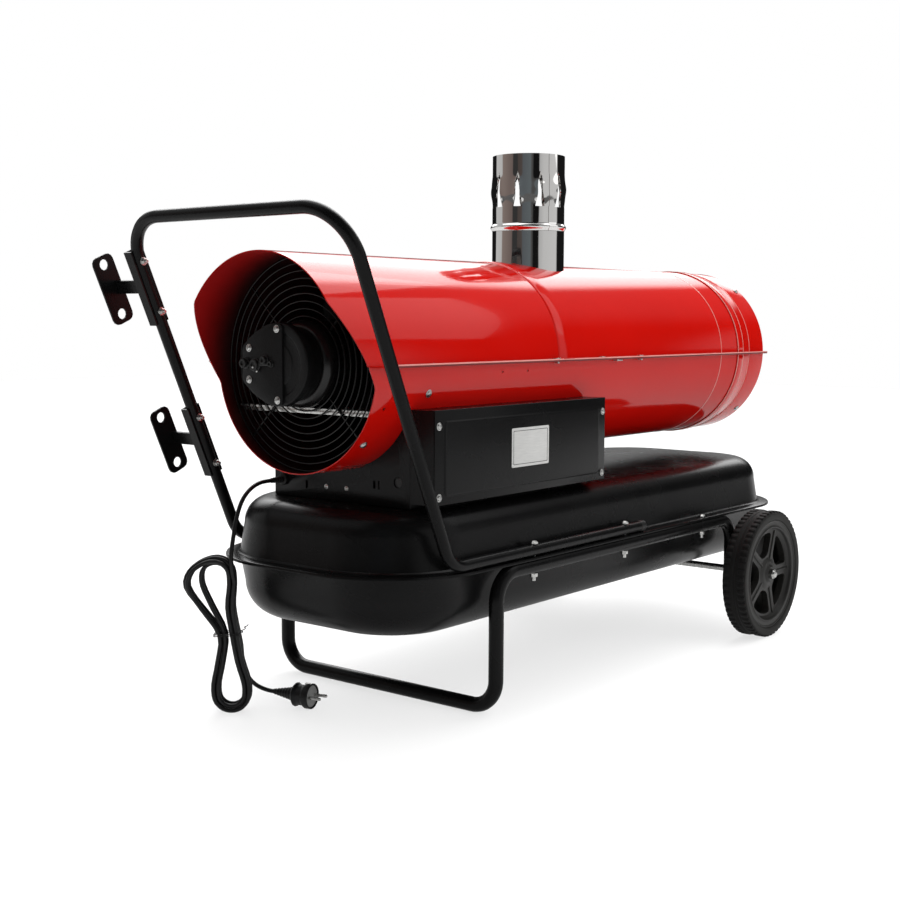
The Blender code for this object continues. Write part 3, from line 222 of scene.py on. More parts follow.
def dark_finish(name, low, high, roughness, spread, grain_scale, grain_depth, **uniform):
    """A dark coat: its shade, gloss and fine grain vary a little over the surface."""
    finish = Finish(name, low, roughness, **uniform)
    cloud = finish.noise(14.0)
    finish.set("Base Color", finish.mix(cloud, low, high))
    finish.set("Roughness", cloud * spread + (roughness - spread / 2))
    finish.bump(finish.noise(grain_scale, 2.0), grain_depth)
    return finish.material


def curve_through(points, steps):
    """Points on a smooth curve from the second given point to the last but one."""
    fine = []
    for a, b, c, d in zip(points, points[1:], points[2:], points[3:]):
        for i in range(steps):
            t = i / steps
            fine.append((2 * b + (c - a) * t + (2 * a - 5 * b + 4 * c - d) * t * t
                         + (3 * b - a - 3 * c + d) * t * t * t) / 2)
    return fine + [points[-2]]


def smooth_route(points, spacing):
    """Evenly spaced points of a smooth curve through given points, its end runs straight."""
    points = [Vector(point) for point in points]
    fine = curve_through(points, route_steps)
    length = sum((q - p).length for p, q in zip(fine, fine[1:]))
    count = max(2, round(length / spacing))
    route = [points[0], fine[0]]
    walked = 0.0
    for p, q in zip(fine, fine[1:]):
        step = (q - p).length
        while step and len(route) <= count and walked + step >= length * (len(route) - 1) / count:
            route.append(p.lerp(q, (length * (len(route) - 1) / count - walked) / step))
        walked += step
    return route + [points[-2], points[-1]]


def hank_curve(turn):
    """The inner loop of the hank and its outward normal: a long loop drawn in at the waist."""
    fold = sqrt(hank_fold_share * cord_diameter * hank_half_height)
    waist = hank_pitch / 2
    x = sin(turn) * (waist + (fold - waist) * cos(turn) ** 2)
    z = -hank_half_height * cos(turn)
    slope_x = cos(turn) * (waist + (fold - waist) * cos(turn) ** 2)
    slope_x -= 2 * (fold - waist) * sin(turn) ** 2 * cos(turn)
    slope_z = hank_half_height * sin(turn)
    length = hypot(slope_x, slope_z)
    return x, z, slope_z / length, -slope_x / length


def hank_points():
    """One unbroken run of loops that spiral in and out, and climb a layer along a run."""
    per_layer = 2 * pi * hank_turns_per_layer
    step = 2 * pi / hank_loop_points
    points = []
    for index in range(-hank_steps_before, round(per_layer * hank_layers / step) + 1):
        walked = index * step
        share = walked / per_layer
        layer = min(max(floor(share), 0), hank_layers - 1)
        phase = share - layer
        spiral = hank_turns_per_layer * (1 - phase if layer % 2 == 0 else phase)
        climb = 0.0
        for reversal in range(1, hank_layers):
            along = min(max((walked - reversal * per_layer) / pi + 0.5, 0.0), 1.0)
            climb += along * along * (3 - 2 * along)
        angle = pi / 2 - walked
        turn = angle - hank_fold_crowding_share * sin(2 * angle)
        x, z, normal_x, normal_z = hank_curve(turn)
        offset = spiral * (hank_pitch + hank_waist_extra * sin(turn) ** 8)
        loose = spiral / hank_turns_per_layer * (2 * max(-sin(turn), 0) * max(-cos(turn), 0)) ** 2
        height = z + normal_z * offset
        risen = min(max(height / hank_bulge_height, 0.0), 1.0)
        sway = hank_sway * risen * risen * (3 - 2 * risen)
        points.append(Vector((x + normal_x * offset - hank_swing * loose - sway,
                              (climb - (hank_layers - 1) / 2) * hank_pitch, height)))
    return points


def round_curve(name, points, diameter, resolution, cyclic=False):
    """A curve object of one spline, with a round section."""
    curve = bpy.data.curves.new(name, "CURVE")
    curve.dimensions = "3D"
    curve.bevel_depth = diameter / 2
    curve.bevel_resolution = resolution
    curve.use_fill_caps = True
    curve.resolution_u = 1
    spline = curve.splines.new("POLY")
    spline.points.add(len(points) - 1)
    for slot, point in zip(spline.points, points):
        slot.co = (*point, 1.0)
    spline.use_cyclic_u = cyclic
    spline.use_smooth = True
    return linked(name, curve)


def baked(thing, *changes):
    """The plain mesh of an object or mesh after modifiers, each given as a kind and settings."""
    if isinstance(thing, bpy.types.Mesh):
        thing = linked("work", thing)
    for kind, settings in changes:
        modifier = thing.modifiers.new(kind, kind)
        for name, value in settings.items():
            setattr(modifier, name, value)
    bpy.context.view_layer.update()
    graph = bpy.context.evaluated_depsgraph_get()
    mesh = bpy.data.meshes.new_from_object(thing.evaluated_get(graph))
    mesh.transform(thing.matrix_world)
    bpy.data.objects.remove(thing, do_unlink=True)
    mesh.materials.clear()
    return mesh


def loft(bm, rows, closed=False):
    """Faces between rows of corners that lie one beside the other."""
    for one, two in zip(rows, rows[1:]):
        for i in range(len(one) if closed else len(one) - 1):
            j = (i + 1) % len(one)
            bm.faces.new((one[i], one[j], two[j], two[i]))


def mesh_of(bm):
    """The mesh of a bmesh, which is spent."""
    mesh = bpy.data.meshes.new("work")
    bm.to_mesh(mesh)
    bm.free()
    return mesh


def smoothed(mesh, angle):
    """The mesh with smooth shading, except at edges sharper than an angle in degrees."""
    mesh.shade_smooth()
    mesh.set_sharp_from_angle(angle=radians(angle))
    return mesh


def shell_mesh(bm, place=None, angle=34):
    """A closed bmesh as a mesh: placed, faces outwards, smooth except at its sharp edges."""
    if place is not None:
        bmesh.ops.transform(bm, matrix=place, verts=bm.verts)
    bmesh.ops.remove_doubles(bm, verts=bm.verts, dist=0.00001)
    bmesh.ops.recalc_face_normals(bm, faces=bm.faces)
    return smoothed(mesh_of(bm), angle)


to_outlet = Matrix.Rotation(radians(90), 4, "Y")
to_inlet = Matrix.Rotation(radians(-90), 4, "Y")
to_side = {-1: Matrix.Rotation(radians(90), 4, "X"), 1: Matrix.Rotation(radians(-90), 4, "X")}


def at(x, y, z, way=Matrix.Identity(4)):
    """A placement whose local Z axis points along a way."""
    return Matrix.Translation((x, y, z)) @ way


def soften(points, radius, steps=3, closed=False):
    """A flat outline whose inner corners are rounded, as far as its sides leave room."""
    points = [Vector(point) for point in points]
    count = len(points)
    made = []
    for i, corner in enumerate(points):
        if not closed and i in (0, count - 1):
            made.append(corner)
            continue
        before, after = points[i - 1] - corner, points[(i + 1) % count] - corner
        start = before.normalized() * min(radius, before.length * 0.48)
        end = after.normalized() * min(radius, after.length * 0.48)
        for k in range(steps + 1):
            t = k / steps
            made.append(corner + start * (1 - t) ** 2 + end * t * t)
    return made


def rod(radius, low, high):
    """The outline of a plain cylinder, to be spun."""
    return [(0, high), (radius, high), (radius, low), (0, low)]


def tube(inner, outer, low, high):
    """The outline of a plain ring, to be spun and closed."""
    return [(outer, high), (outer, low), (inner, low), (inner, high)]


def lathe(profile, steps, place=None, closed=False, angle=34):
    """A turned shape: its outline from the top of its local Z axis down, spun round it."""
    bm = bmesh.new()
    rows = []
    for radius, height in profile:
        turns = [2 * pi * i / steps for i in range(steps)] if radius > 0.00001 else [0]
        rows.append([bm.verts.new((radius * cos(turn), radius * sin(turn), height))
                     for turn in turns])
    for one, two in zip(rows, rows[1:] + ([rows[0]] if closed else [])):
        for i in range(steps):
            corners = [one[i % len(one)], one[(i + 1) % len(one)], two[(i + 1) % len(two)],
                       two[i % len(two)]]
            corners = list(dict.fromkeys(corners))
            if len(corners) > 2:
                bm.faces.new(corners)
    return shell_mesh(bm, place, angle)


def joined(*meshes):
    """Several meshes as one."""
    bm = bmesh.new()
    for mesh in meshes:
        bm.from_mesh(mesh)
    return mesh_of(bm)


def piece(name, mesh, finish, body="heater", replaces=()):
    """A finished mesh as a piece of the object: its material, its body and its CAD nodes."""
    mesh.name = name
    mesh.materials.clear()
    mesh.materials.append(finish)
    thing = linked(name, mesh)
    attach(thing, body)
    if replaces:
        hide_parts(*replaces)
    return thing


def coat(finish, *nodes):
    """A finish for CAD solids that stay as they are."""
    for node in nodes:
        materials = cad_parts[node].data.materials
        materials.clear()
        materials.append(finish)


def rounded_rectangle(half_x, half_y, corner, steps):
    """The points of a rounded rectangle, centred on zero."""
    points = []
    for sign_x, sign_y, start in ((1, 1, 0), (-1, 1, pi / 2), (-1, -1, pi), (1, -1, 3 * pi / 2)):
        for i in range(steps + 1):
            turn = start + pi / 2 * i / steps
            points.append((sign_x * (half_x - corner) + corner * cos(turn),
                           sign_y * (half_y - corner) + corner * sin(turn)))
    return points


cord_rubber = dark_finish("cord_rubber", (0.0045, 0.0045, 0.0050), (0.0090, 0.0090, 0.0095), 0.42,
                          0.14, 900.0, 0.00012, specular_ior_level=0.35)
cord_frame = Matrix.Rotation(hank_turn, 4, "Z") @ Matrix.Rotation(hank_lean, 4, "Y")
loops = [cord_frame @ point for point in hank_points()]
hank_low = min(point.z for point in loops)
hank_centre = Vector((leg_x - hank_back, hank_y, cord_diameter / 2 + gap - hank_low))
loops = [point + hank_centre for point in loops]
wall_x = leg_x - saddle_back - gap
cord_exit = Vector((wall_x - gland_length - gap, gland_y, gland_z))
above_hank = (loops[0] - loops[1]).normalized()
hank_top = loops[0] + above_hank * gap
route = [cord_exit, cord_exit + Vector((-cord_diameter, 0, 0))]
route += [(leg_x + x, y, z) for x, y, z in lead_route]
lead = smooth_route(route + [hank_top + above_hank * cord_diameter, hank_top], route_spacing)
plug_heading = Vector((cos(plug_turn), sin(plug_turn), 0))
plug_length = plug_relief + plug_body
plug_end = Vector((leg_x - plug_back, plug_y, plug_radius + gap))
plug_base = plug_end - plug_heading * plug_length
leave = (loops[-1] - loops[-2]).normalized()
tail_end = plug_base - plug_heading * gap
route = [loops[-1] + leave * gap, loops[-1] + leave * (gap + cord_diameter)]
route += [(leg_x + x, y, z) for x, y, z in tail_route]
tail = smooth_route(route + [tail_end - plug_heading * cord_diameter, tail_end], route_spacing)
run = lead[:-1] + loops + tail[1:]
run = curve_through([2 * run[0] - run[1]] + run + [2 * run[-1] - run[-2]], 3)
mains_lead = round_curve("mains_lead", run, cord_diameter, 3)
mains_lead.data.materials.append(cord_rubber)
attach(mains_lead, "heater")
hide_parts("power_cord_lead", "power_cord_hank", "power_cord_tail")

# Gland: a black moulded strain relief, pushed through the saddle's end wall. It narrows
# towards the cord and has the usual cut ribs, so that it bends with the cord.
gland_flange = 0.0090
gland_rim = 0.0020
gland_ribs = 5
gland_groove = 0.0010
black_plastic = dark_finish("black_plastic", (0.0048, 0.0048, 0.0048), (0.0092, 0.0092, 0.0092),
                            0.42, 0.12, 700.0, 0.00010, specular_ior_level=0.35)
tip = cord_diameter / 2 + gap
profile = [(0, gland_length), (tip, gland_length)]
rib = (gland_length - 2 * gland_rim) / gland_ribs
for i in range(gland_ribs):
    top = gland_length - i * rib
    radius = tip + gland_rim * (i + 1) / gland_ribs
    profile += [(radius, top - 0.1 * rib), (radius, top - 0.65 * rib),
                (radius - gland_groove, top - 0.70 * rib), (radius - gland_groove, top - rib)]
profile += [(gland_flange, 1.6 * gland_rim), (gland_flange, 0), (0, 0)]
gland = piece("cord_strain_relief",
              lathe(soften(profile, 0.0004, 2), 40, at(wall_x, gland_y, gland_z, to_inlet)),
              black_plastic, replaces=["cord_gland"])

# Tie: a plastic covered wire, wound twice round the waist of the hank, its ends twisted.
tie_wire = 0.0014
tie_rise = 0.0024
twist_points = 16
twist_turn = 0.9
twist_radius = 0.0016
twist_reach = 0.0006
twist_rise = 0.0007
held = []
for p, q in zip(hank_points(), hank_points()[1:]):
    held += [p.lerp(q, i / 40) for i in range(41) if abs(p.lerp(q, i / 40).z) < 2 * tie_rise]
half_x = max(abs(point.x) for point in held) + cord_diameter / 2 + tie_wire / 2 + gap
half_y = max(abs(point.y) for point in held) + cord_diameter / 2 + tie_wire / 2 + gap
winding = []
outline = rounded_rectangle(half_x, half_y, cord_diameter / 2, 6)
for lap in range(2):
    winding += [Vector((x, y, tie_rise * (lap - 1 + i / len(outline))))
                for i, (x, y) in enumerate(outline)]
twist = [Vector((half_x + twist_radius * cos(twist_turn * i) + twist_reach * i,
                 twist_radius * sin(twist_turn * i) + half_y * 0.3, twist_rise * i))
         for i in range(twist_points)]
tie_place = at(*hank_centre, cord_frame)
tie_mesh = joined(*[baked(round_curve("tie", [tie_place @ point for point in points], tie_wire, 2))
                    for points in (winding, twist)])
tie = piece("cord_twist_tie", tie_mesh, black_plastic, replaces=["cord_tie"])

# Plug: a moulded rubber plug with two plated pins, earth clips on two sides of its face, a
# ribbed strain relief and a grip that is drawn in behind the face.
pin_radius = 0.0024
pin_length = 0.0190
pin_half_span = 0.0095
relief_tip = 0.0046
relief_root = 0.0105
relief_ribs = 7
relief_groove = 0.0013
face_recess = 0.0022
face_floor = plug_length - face_recess
face_radius = plug_radius - 0.0026
insert_radius = plug_radius - 0.0029
grip_radius = plug_radius - 0.0035
clip_width = 0.0050
clip_thickness = 0.0008
plug_place = at(*plug_base, Matrix.Rotation(plug_turn, 4, "Z") @ to_outlet)
zinc = Finish("zinc_plate", (0.60, 0.60, 0.58), 0.3, 1.0)
spangle = zinc.node("ShaderNodeTexVoronoi", {}, {"Vector": zinc.place, "Scale": 260.0}, "Distance")
zinc.set("Base Color", zinc.mix(spangle, (0.66, 0.66, 0.64), (0.48, 0.48, 0.47)))
zinc.set("Roughness", spangle * 0.2 + 0.20)
zinc = zinc.material
profile = [(0, face_floor), (face_radius, face_floor), (face_radius, plug_length),
           (plug_radius, plug_length), (plug_radius, plug_length - 0.009),
           (grip_radius, plug_length - 0.014), (grip_radius, plug_length - 0.022),
           (plug_radius - 0.0008, plug_relief + 0.003), (plug_radius - 0.004, plug_relief)]
rib = plug_relief / relief_ribs
for i in range(relief_ribs):
    top = plug_relief - i * rib
    radius = relief_root + (relief_tip - relief_root) * i / (relief_ribs - 1)
    profile += [(radius, top - 0.15 * rib), (radius, top - 0.6 * rib),
                (radius - relief_groove, top - 0.68 * rib),
                (radius - relief_groove, top - 0.98 * rib)]
profile += [(relief_tip - 0.0005, 0), (0, 0)]
plug = piece("plug_body", lathe(soften(profile, 0.0009, 3), 48, plug_place), cord_rubber,
             replaces=["power_plug"])
pins = []
for side in (-1, 1):
    tip_z = plug_length + pin_length
    root = face_floor - 0.001
    profile = [(0, tip_z), (pin_radius * 0.5, tip_z - 0.0002), (pin_radius * 0.85, tip_z - 0.0008),
               (pin_radius, tip_z - 0.0020), (pin_radius, root), (0, root)]
    pins.append(lathe(profile, 24, plug_place @ at(0, side * pin_half_span, 0)))


def bar(low, high, rounding=0.0, place=None, segments=2):
    """A box between two corners with rounded edges."""
    bm = bmesh.new()
    size = Vector(high) - Vector(low)
    bmesh.ops.create_cube(bm, size=1.0,
                          matrix=Matrix.Translation((Vector(low) + Vector(high)) / 2)
                          @ Matrix.Diagonal((*size, 1)))
    mesh = shell_mesh(bm)
    if rounding:
        mesh = baked(mesh, ("BEVEL", {"width": rounding, "segments": segments,
                                      "limit_method": "ANGLE", "harden_normals": False}))
        smoothed(mesh, 50)
    if place is not None:
        mesh.transform(place)
    return mesh


for side in (-1, 1):
    low, high = sorted((side * (plug_radius - 0.0012),
                        side * (plug_radius + clip_thickness - 0.0006)))
    pins.append(bar((low, -clip_width / 2, plug_length - 0.012),
                    (high, clip_width / 2, plug_length - 0.0006), 0.0004, plug_place))
plug_metal = piece("plug_pins", joined(*pins), zinc)
grey_plastic = dark_finish("grey_plastic", (0.20, 0.20, 0.20), (0.28, 0.28, 0.27), 0.5, 0.1,
                           500.0, 0.0001)
face = lathe(soften(rod(insert_radius, face_floor - 0.001, face_floor + 0.0006), 0.0003, 2),
             40, plug_place)
plug_face = piece("plug_face", face, grey_plastic)

# Undercarriage: one steel tube, bent cold and powder coated satin black. It carries the
# tank on its two rails, stands on its crossbar and drops to the axle at the far end.
wheel_base = 0.718
rail_y = 0.211
rail_z = 0.2075
frame_tube = 0.022
frame_bend = 0.042
tail_below_axle = 0.020
wheel_radius = 0.1143
axle_x = leg_x + wheel_base
black_paint = dark_finish("satin_black_powder_coat", (0.0034, 0.0034, 0.0036),
                          (0.0060, 0.0060, 0.0062), 0.27, 0.07, 620.0, 0.00006,
                          specular_ior_level=0.14)


def bent_route(corners, bends, steps):
    """A route through corners, with a round bend of its own radius at each inner corner."""
    corners = [Vector(corner) for corner in corners]
    route = [corners[0]]
    for before, corner, after, radius in zip(corners, corners[1:], corners[2:], bends):
        inward = (before - corner).normalized()
        onward = (after - corner).normalized()
        half = inward.angle(onward) / 2
        middle = corner + (inward + onward).normalized() * (radius / sin(half))
        first = corner + inward * (radius / tan(half)) - middle
        last = corner + onward * (radius / tan(half)) - middle
        turn = pi - 2 * half
        for i in range(steps + 1):
            share = i / steps
            route.append(middle + (first * sin((1 - share) * turn) + last * sin(share * turn))
                         / sin(turn))
    return route + [corners[-1]]


corners = []
for side in (-1, 1):
    leg = [(axle_x, side * rail_y, wheel_radius - tail_below_axle), (axle_x, side * rail_y, rail_z),
           (leg_x, side * rail_y, rail_z), (leg_x, side * rail_y, frame_tube / 2)]
    corners += leg if side < 0 else reversed(leg)
frame_mesh = baked(round_curve("frame", bent_route(corners, [frame_bend] * 6, 18), frame_tube, 6))
piece("undercarriage_tube", frame_mesh, black_paint,
      replaces=["undercarriage_frame"])

# Push handle: a thinner tube, bent as the frame is. Its feet lie on the tank's flange and
# are bolted through it, and black plastic plugs close the ends. Its top stands in by the
# inset, as the smooth bends would otherwise reach past the facets of the solid tube.
handle_tube = 0.018
handle_top_back = 0.3157
handle_inset = 0.0007
handle_top_z = 0.709
handle_foot_back = 0.106
handle_rail_length = 0.399
handle_top_bend = 0.072
handle_foot_bend = 0.045
end_plug_wall = 0.0004
end_plug_cover = 0.012
end_plug_crown = 0.003
sheet = 0.0015
flange_top = rail_z + frame_tube / 2 + gap + sheet
seam_z = flange_top + gap / 2
handle_rail_z = flange_top + gap + sheet + gap + handle_tube / 2
corners = []
for side in (-1, 1):
    leg = [(leg_x + handle_rail_length, side * rail_y, handle_rail_z),
           (leg_x - handle_foot_back, side * rail_y, handle_rail_z),
           (leg_x - handle_top_back + handle_inset, side * rail_y, handle_top_z)]
    corners += leg if side < 0 else reversed(leg)
bends = [handle_foot_bend, handle_top_bend, handle_top_bend, handle_foot_bend]
handle_mesh = baked(round_curve("handle", bent_route(corners, bends, 18), handle_tube, 6))
piece("handle_tube", handle_mesh, black_paint, replaces=["push_handle"])
caps = []
for side in (-1, 1):
    profile = soften(rod(handle_tube / 2 + end_plug_wall, -end_plug_cover, end_plug_crown), 0.0014)
    caps.append(lathe(profile, 32, at(leg_x + handle_rail_length, side * rail_y, handle_rail_z,
                                      to_outlet)))
piece("handle_end_plugs", joined(*caps), black_plastic)

# Fuel tank: two deep drawn steel halves, seam welded at a flange whose upper edge is
# turned down over the lower one, then powder coated satin black.
tank_back = 0.2133
tank_ahead = 0.9783
tank_half_width = 0.219
tank_corner = 0.158
tank_flange = 0.0225
tank_lip = 0.003
tank_draft = 0.006
tank_upper_height = 0.0850
tank_lower_depth = 0.0950
tank_upper_round = 0.038
tank_lower_round = 0.055
tank_low_x = leg_x - tank_back
tank_high_x = leg_x + tank_ahead
tank_top_z = seam_z + tank_upper_height
corner_steps = 20
edge_steps = 12
lip_round = 0.0022
lip_round_middle = 0.0007
flange_root = 0.006


def bent_skin(rows, columns, place, outward_from, gauge, joined_ends=False, end_closed=False):
    """A sheet metal skin: a grid whose points are set by row and column, then its gauge."""
    bm = bmesh.new()
    grid = [[bm.verts.new(place(row, column)) for column in range(columns + 1)]
            for row in range(rows + 1)]
    loft(bm, grid)
    if end_closed:
        bm.faces.new(grid[-1][:-1] if joined_ends else grid[-1])
    bmesh.ops.remove_doubles(bm, verts=bm.verts, dist=0.00001)
    bmesh.ops.recalc_face_normals(bm, faces=bm.faces)
    facing = 0.0
    for face in bm.faces:
        away = face.calc_center_median() - Vector(outward_from)
        away.x = away.x if joined_ends else 0.0
        facing += face.normal.dot(away) * face.calc_area()
    if facing < 0:
        bmesh.ops.reverse_faces(bm, faces=bm.faces)
    mesh = mesh_of(bm)
    mesh.shade_smooth()
    mesh = baked(mesh, ("SOLIDIFY", {"thickness": gauge, "offset": -1, "use_even_offset": True}))
    return smoothed(mesh, 34)


def tank_half(up):
    """One drawn half of the tank: flange, slightly tapered wall, rounded edge, flat face."""
    height = tank_upper_height if up > 0 else tank_lower_depth
    edge_round = tank_upper_round if up > 0 else tank_lower_round
    rim = tank_lip if up > 0 else 0.0
    inset = 0.0 if up > 0 else sheet + gap
    level = seam_z + up * (gap / 2 + sheet)
    outer = [(inset, level)]
    if rim:
        outer = [(0.0, level - sheet - rim), (0.0, level - lip_round),
                 (lip_round_middle, level - lip_round_middle), (lip_round, level)]
    outer += [(tank_flange - flange_root, level),
              (tank_flange - flange_root / 2, level + up * 0.0007),
              (tank_flange - 0.0008, level + up * flange_root / 2)]
    for i in range(edge_steps + 1):
        turn = (pi / 2) * i / edge_steps
        outer.append((tank_flange + tank_draft + edge_round * (1 - cos(turn)),
                      seam_z + up * (height - edge_round * (1 - sin(turn)))))
    columns = 4 * (corner_steps + 1)

    def place(row, column):
        offset, z = outer[row]
        outline = rounded_rectangle((tank_high_x - tank_low_x) / 2 - offset,
                                    tank_half_width - offset, tank_corner - offset, corner_steps)
        x, y = outline[column % columns]
        return Vector(((tank_low_x + tank_high_x) / 2 + x, y, z))

    return bent_skin(len(outer) - 1, columns, place, ((tank_low_x + tank_high_x) / 2, 0, seam_z),
                     sheet, joined_ends=True, end_closed=True)


piece("tank_upper_half", tank_half(1), black_paint,
      replaces=["tank_upper_shell"])
piece("tank_lower_half", tank_half(-1), black_paint,
      replaces=["tank_lower_shell"])

# Axle and spacers: a plain zinc plated bar through both drops of the frame, with a short
# piece of tube behind each wheel that keeps it off the frame.
wheel_inner_y = 0.253
axle_radius = 0.006
hub_inner_y = 0.240
hub_outer_y = 0.294
axle_stub = 0.006
spacer_radius = 0.010
half = hub_outer_y + axle_stub
axle_mesh = lathe(soften(rod(axle_radius, -half, half), 0.0008), 32,
                  at(axle_x, 0, wheel_radius, to_side[-1]))
piece("axle_bar", axle_mesh, zinc, replaces=["axle"])
spacers = []
for side in (-1, 1):
    low, high = rail_y + frame_tube / 2 + gap, hub_inner_y - gap
    profile = soften(tube(axle_radius, spacer_radius, low, high), 0.0006, closed=True)
    spacers.append(lathe(profile, 32, at(axle_x, 0, wheel_radius, to_side[side]), True))
piece("axle_spacers", joined(*spacers), zinc,
      replaces=["axle_spacer_near", "axle_spacer_far"])

# Wheels: a moulded plastic rim with five windows between ridged spokes, and a solid rubber
# tyre with a ring of small lugs along both edges, its tread painted darker than its walls as
# painted shade. A cap nut holds each one.
wheel_width = 0.045
hub_radius = 0.023
rim_radius = 0.097
rim_lip = 0.003
rim_wall = 0.015
web_thickness = 0.012
web_depth = 0.009
window_inner = 0.034
window_outer = 0.074
window_corner = 0.009
spoke_width = 0.0195
spoke_count = 5
tyre_shoulder = 0.006
lug_height = 0.0013
lug_width = 0.0078
lug_reach = 0.0125
lug_count = 60
nut_radius = 0.0095
nut_height = 0.010
rim_sides = 90
tread_start = 0.006
tread_full = 0.002
ridge_half = 0.0020
lug_inset = 0.0024
lug_top_gap = 0.00025
tread_groove = 0.0012
closing_low = 0.0015
closing_high = 0.0035
tyre_finish = Finish("tyre_rubber", (0.016, 0.015, 0.014), 0.62, specular_ior_level=0.3)
spot = tyre_finish.along_axes(tyre_finish.place)
along, above = spot[0] - axle_x, spot[2] - wheel_radius
# Painted shade: the tread is coloured darker than the walls; the same mask makes it a little
# rougher.
tread_shade_mask = tyre_finish.eased(along * along + above * above, (wheel_radius - tread_start) ** 2,
                         (wheel_radius - tread_full) ** 2)
cloud = tyre_finish.noise(14.0)
tyre_finish.set("Base Color", tyre_finish.mix((cloud * 0.5 + 0.5) * (1 - tread_shade_mask * 0.9),
                                              (0.0034, 0.0032, 0.0029), (0.0190, 0.0182, 0.0166)))
tyre_finish.set("Roughness", cloud * 0.16 + tread_shade_mask * 0.12 + 0.54)
tyre_finish.bump(tyre_finish.noise(380.0, 2.0), 0.00016)
tyre_rubber = tyre_finish.material
wheel_plastic = dark_finish("wheel_plastic", (0.0145, 0.0140, 0.0126), (0.0205, 0.0198, 0.0180),
                            0.45, 0.12, 480.0, 0.00012, specular_ior_level=0.35)


class Grower(Tree):
    """A Geometry Nodes tree with named inputs. It ends in Realize Instances and Set Material."""

    def __init__(self, name, **inputs):
        super().__init__(bpy.data.node_groups.new(name, "GeometryNodeTree"))
        sockets = self.tree.interface
        sockets.new_socket("Geometry", in_out="INPUT", socket_type="NodeSocketGeometry")
        for label, kind in {**inputs, "Finish": "Material"}.items():
            sockets.new_socket(label, in_out="INPUT", socket_type="NodeSocket" + kind)
        sockets.new_socket("Geometry", in_out="OUTPUT", socket_type="NodeSocketGeometry")

    def given(self, name):
        return self.node("NodeGroupInput", output=name)

    def ends(self, geometry):
        whole = self.node("GeometryNodeRealizeInstances", {}, {"Geometry": geometry})
        done = self.node("GeometryNodeSetMaterial", {},
                         {"Geometry": whole, "Material": self.given("Finish")})
        self.tree.links.new(done.socket, self.tree.nodes.new("NodeGroupOutput").inputs[0])


def grown(grower, mesh=None, part=None, place=None, **inputs):
    """The plain mesh that a Geometry Nodes tree makes from its named inputs."""
    thing = linked("work", mesh or bpy.data.meshes.new("work"))
    if part:
        inputs["Part"] = linked("part", part)
    modifier = thing.modifiers.new("grown", "NODES")
    modifier.node_group = grower.tree
    for item in grower.tree.interface.items_tree:
        if item.in_out == "INPUT" and item.name in inputs:
            modifier[item.identifier] = inputs[item.name]
    made = baked(thing)
    if part:
        bpy.data.objects.remove(inputs["Part"], do_unlink=True)
    if place is not None:
        made.transform(place)
    return made


ring_of_parts = Grower("ring_of_parts", Part="Object", Count="Int", Start="Float")
parts = ring_of_parts.node("GeometryNodeObjectInfo", {}, {"Object": ring_of_parts.given("Part"),
                                                          "As Instance": True}, "Geometry")
spots = ring_of_parts.node("GeometryNodeMeshCircle", {}, {"Vertices": ring_of_parts.given("Count"),
                                                          "Radius": 0.0})
turn = (ring_of_parts.node("GeometryNodeInputIndex") / ring_of_parts.given("Count") * (2 * pi)
        + ring_of_parts.given("Start"))
turns = ring_of_parts.node("ShaderNodeCombineXYZ", {}, {"Z": turn})
ring_of_parts.ends(ring_of_parts.node("GeometryNodeInstanceOnPoints", {},
                                      {"Points": spots, "Instance": parts, "Rotation": turns}))


def slab(outlines, thickness, place=None, edge=0.0):
    """A flat plate with holes, from outlines in its local XY plane, centred on its thickness."""
    curve = bpy.data.curves.new("slab", "CURVE")
    curve.dimensions = "2D"
    curve.fill_mode = "BOTH"
    curve.extrude = thickness / 2 - edge
    curve.bevel_depth = edge
    curve.bevel_resolution = 1
    curve.offset = -edge
    for outline in outlines:
        spline = curve.splines.new("POLY")
        spline.points.add(len(outline) - 1)
        for slot, point in zip(spline.points, outline):
            slot.co = (point[0], point[1], 0, 1.0)
        spline.use_cyclic_u = True
    bm = bmesh.new()
    bm.from_mesh(baked(linked("slab", curve)))
    return shell_mesh(bm, place)


def cut(mesh, *cutters):
    """The mesh cut by other meshes."""
    things = [linked("cutter", cutter) for cutter in cutters]
    made = baked(mesh, *[("BOOLEAN", {"operation": "DIFFERENCE", "object": thing,
                                      "solver": "EXACT"}) for thing in things])
    for thing in things:
        bpy.data.objects.remove(thing, do_unlink=True)
    return smoothed(made, 34)


def window_outline(turn):
    """One opening between two spokes: two arcs, straight sides along the spokes, round corners."""
    points = []
    for radius, steps, way in ((window_outer, 4, 1), (window_inner, 1, -1)):
        half = pi / spoke_count - asin(spoke_width / 2 / radius)
        for i in range(steps + 1):
            there = turn - way * half + 2 * way * half * i / steps
            points.append((radius * cos(there), radius * sin(there)))
    return soften(points, window_corner, 5, closed=True)


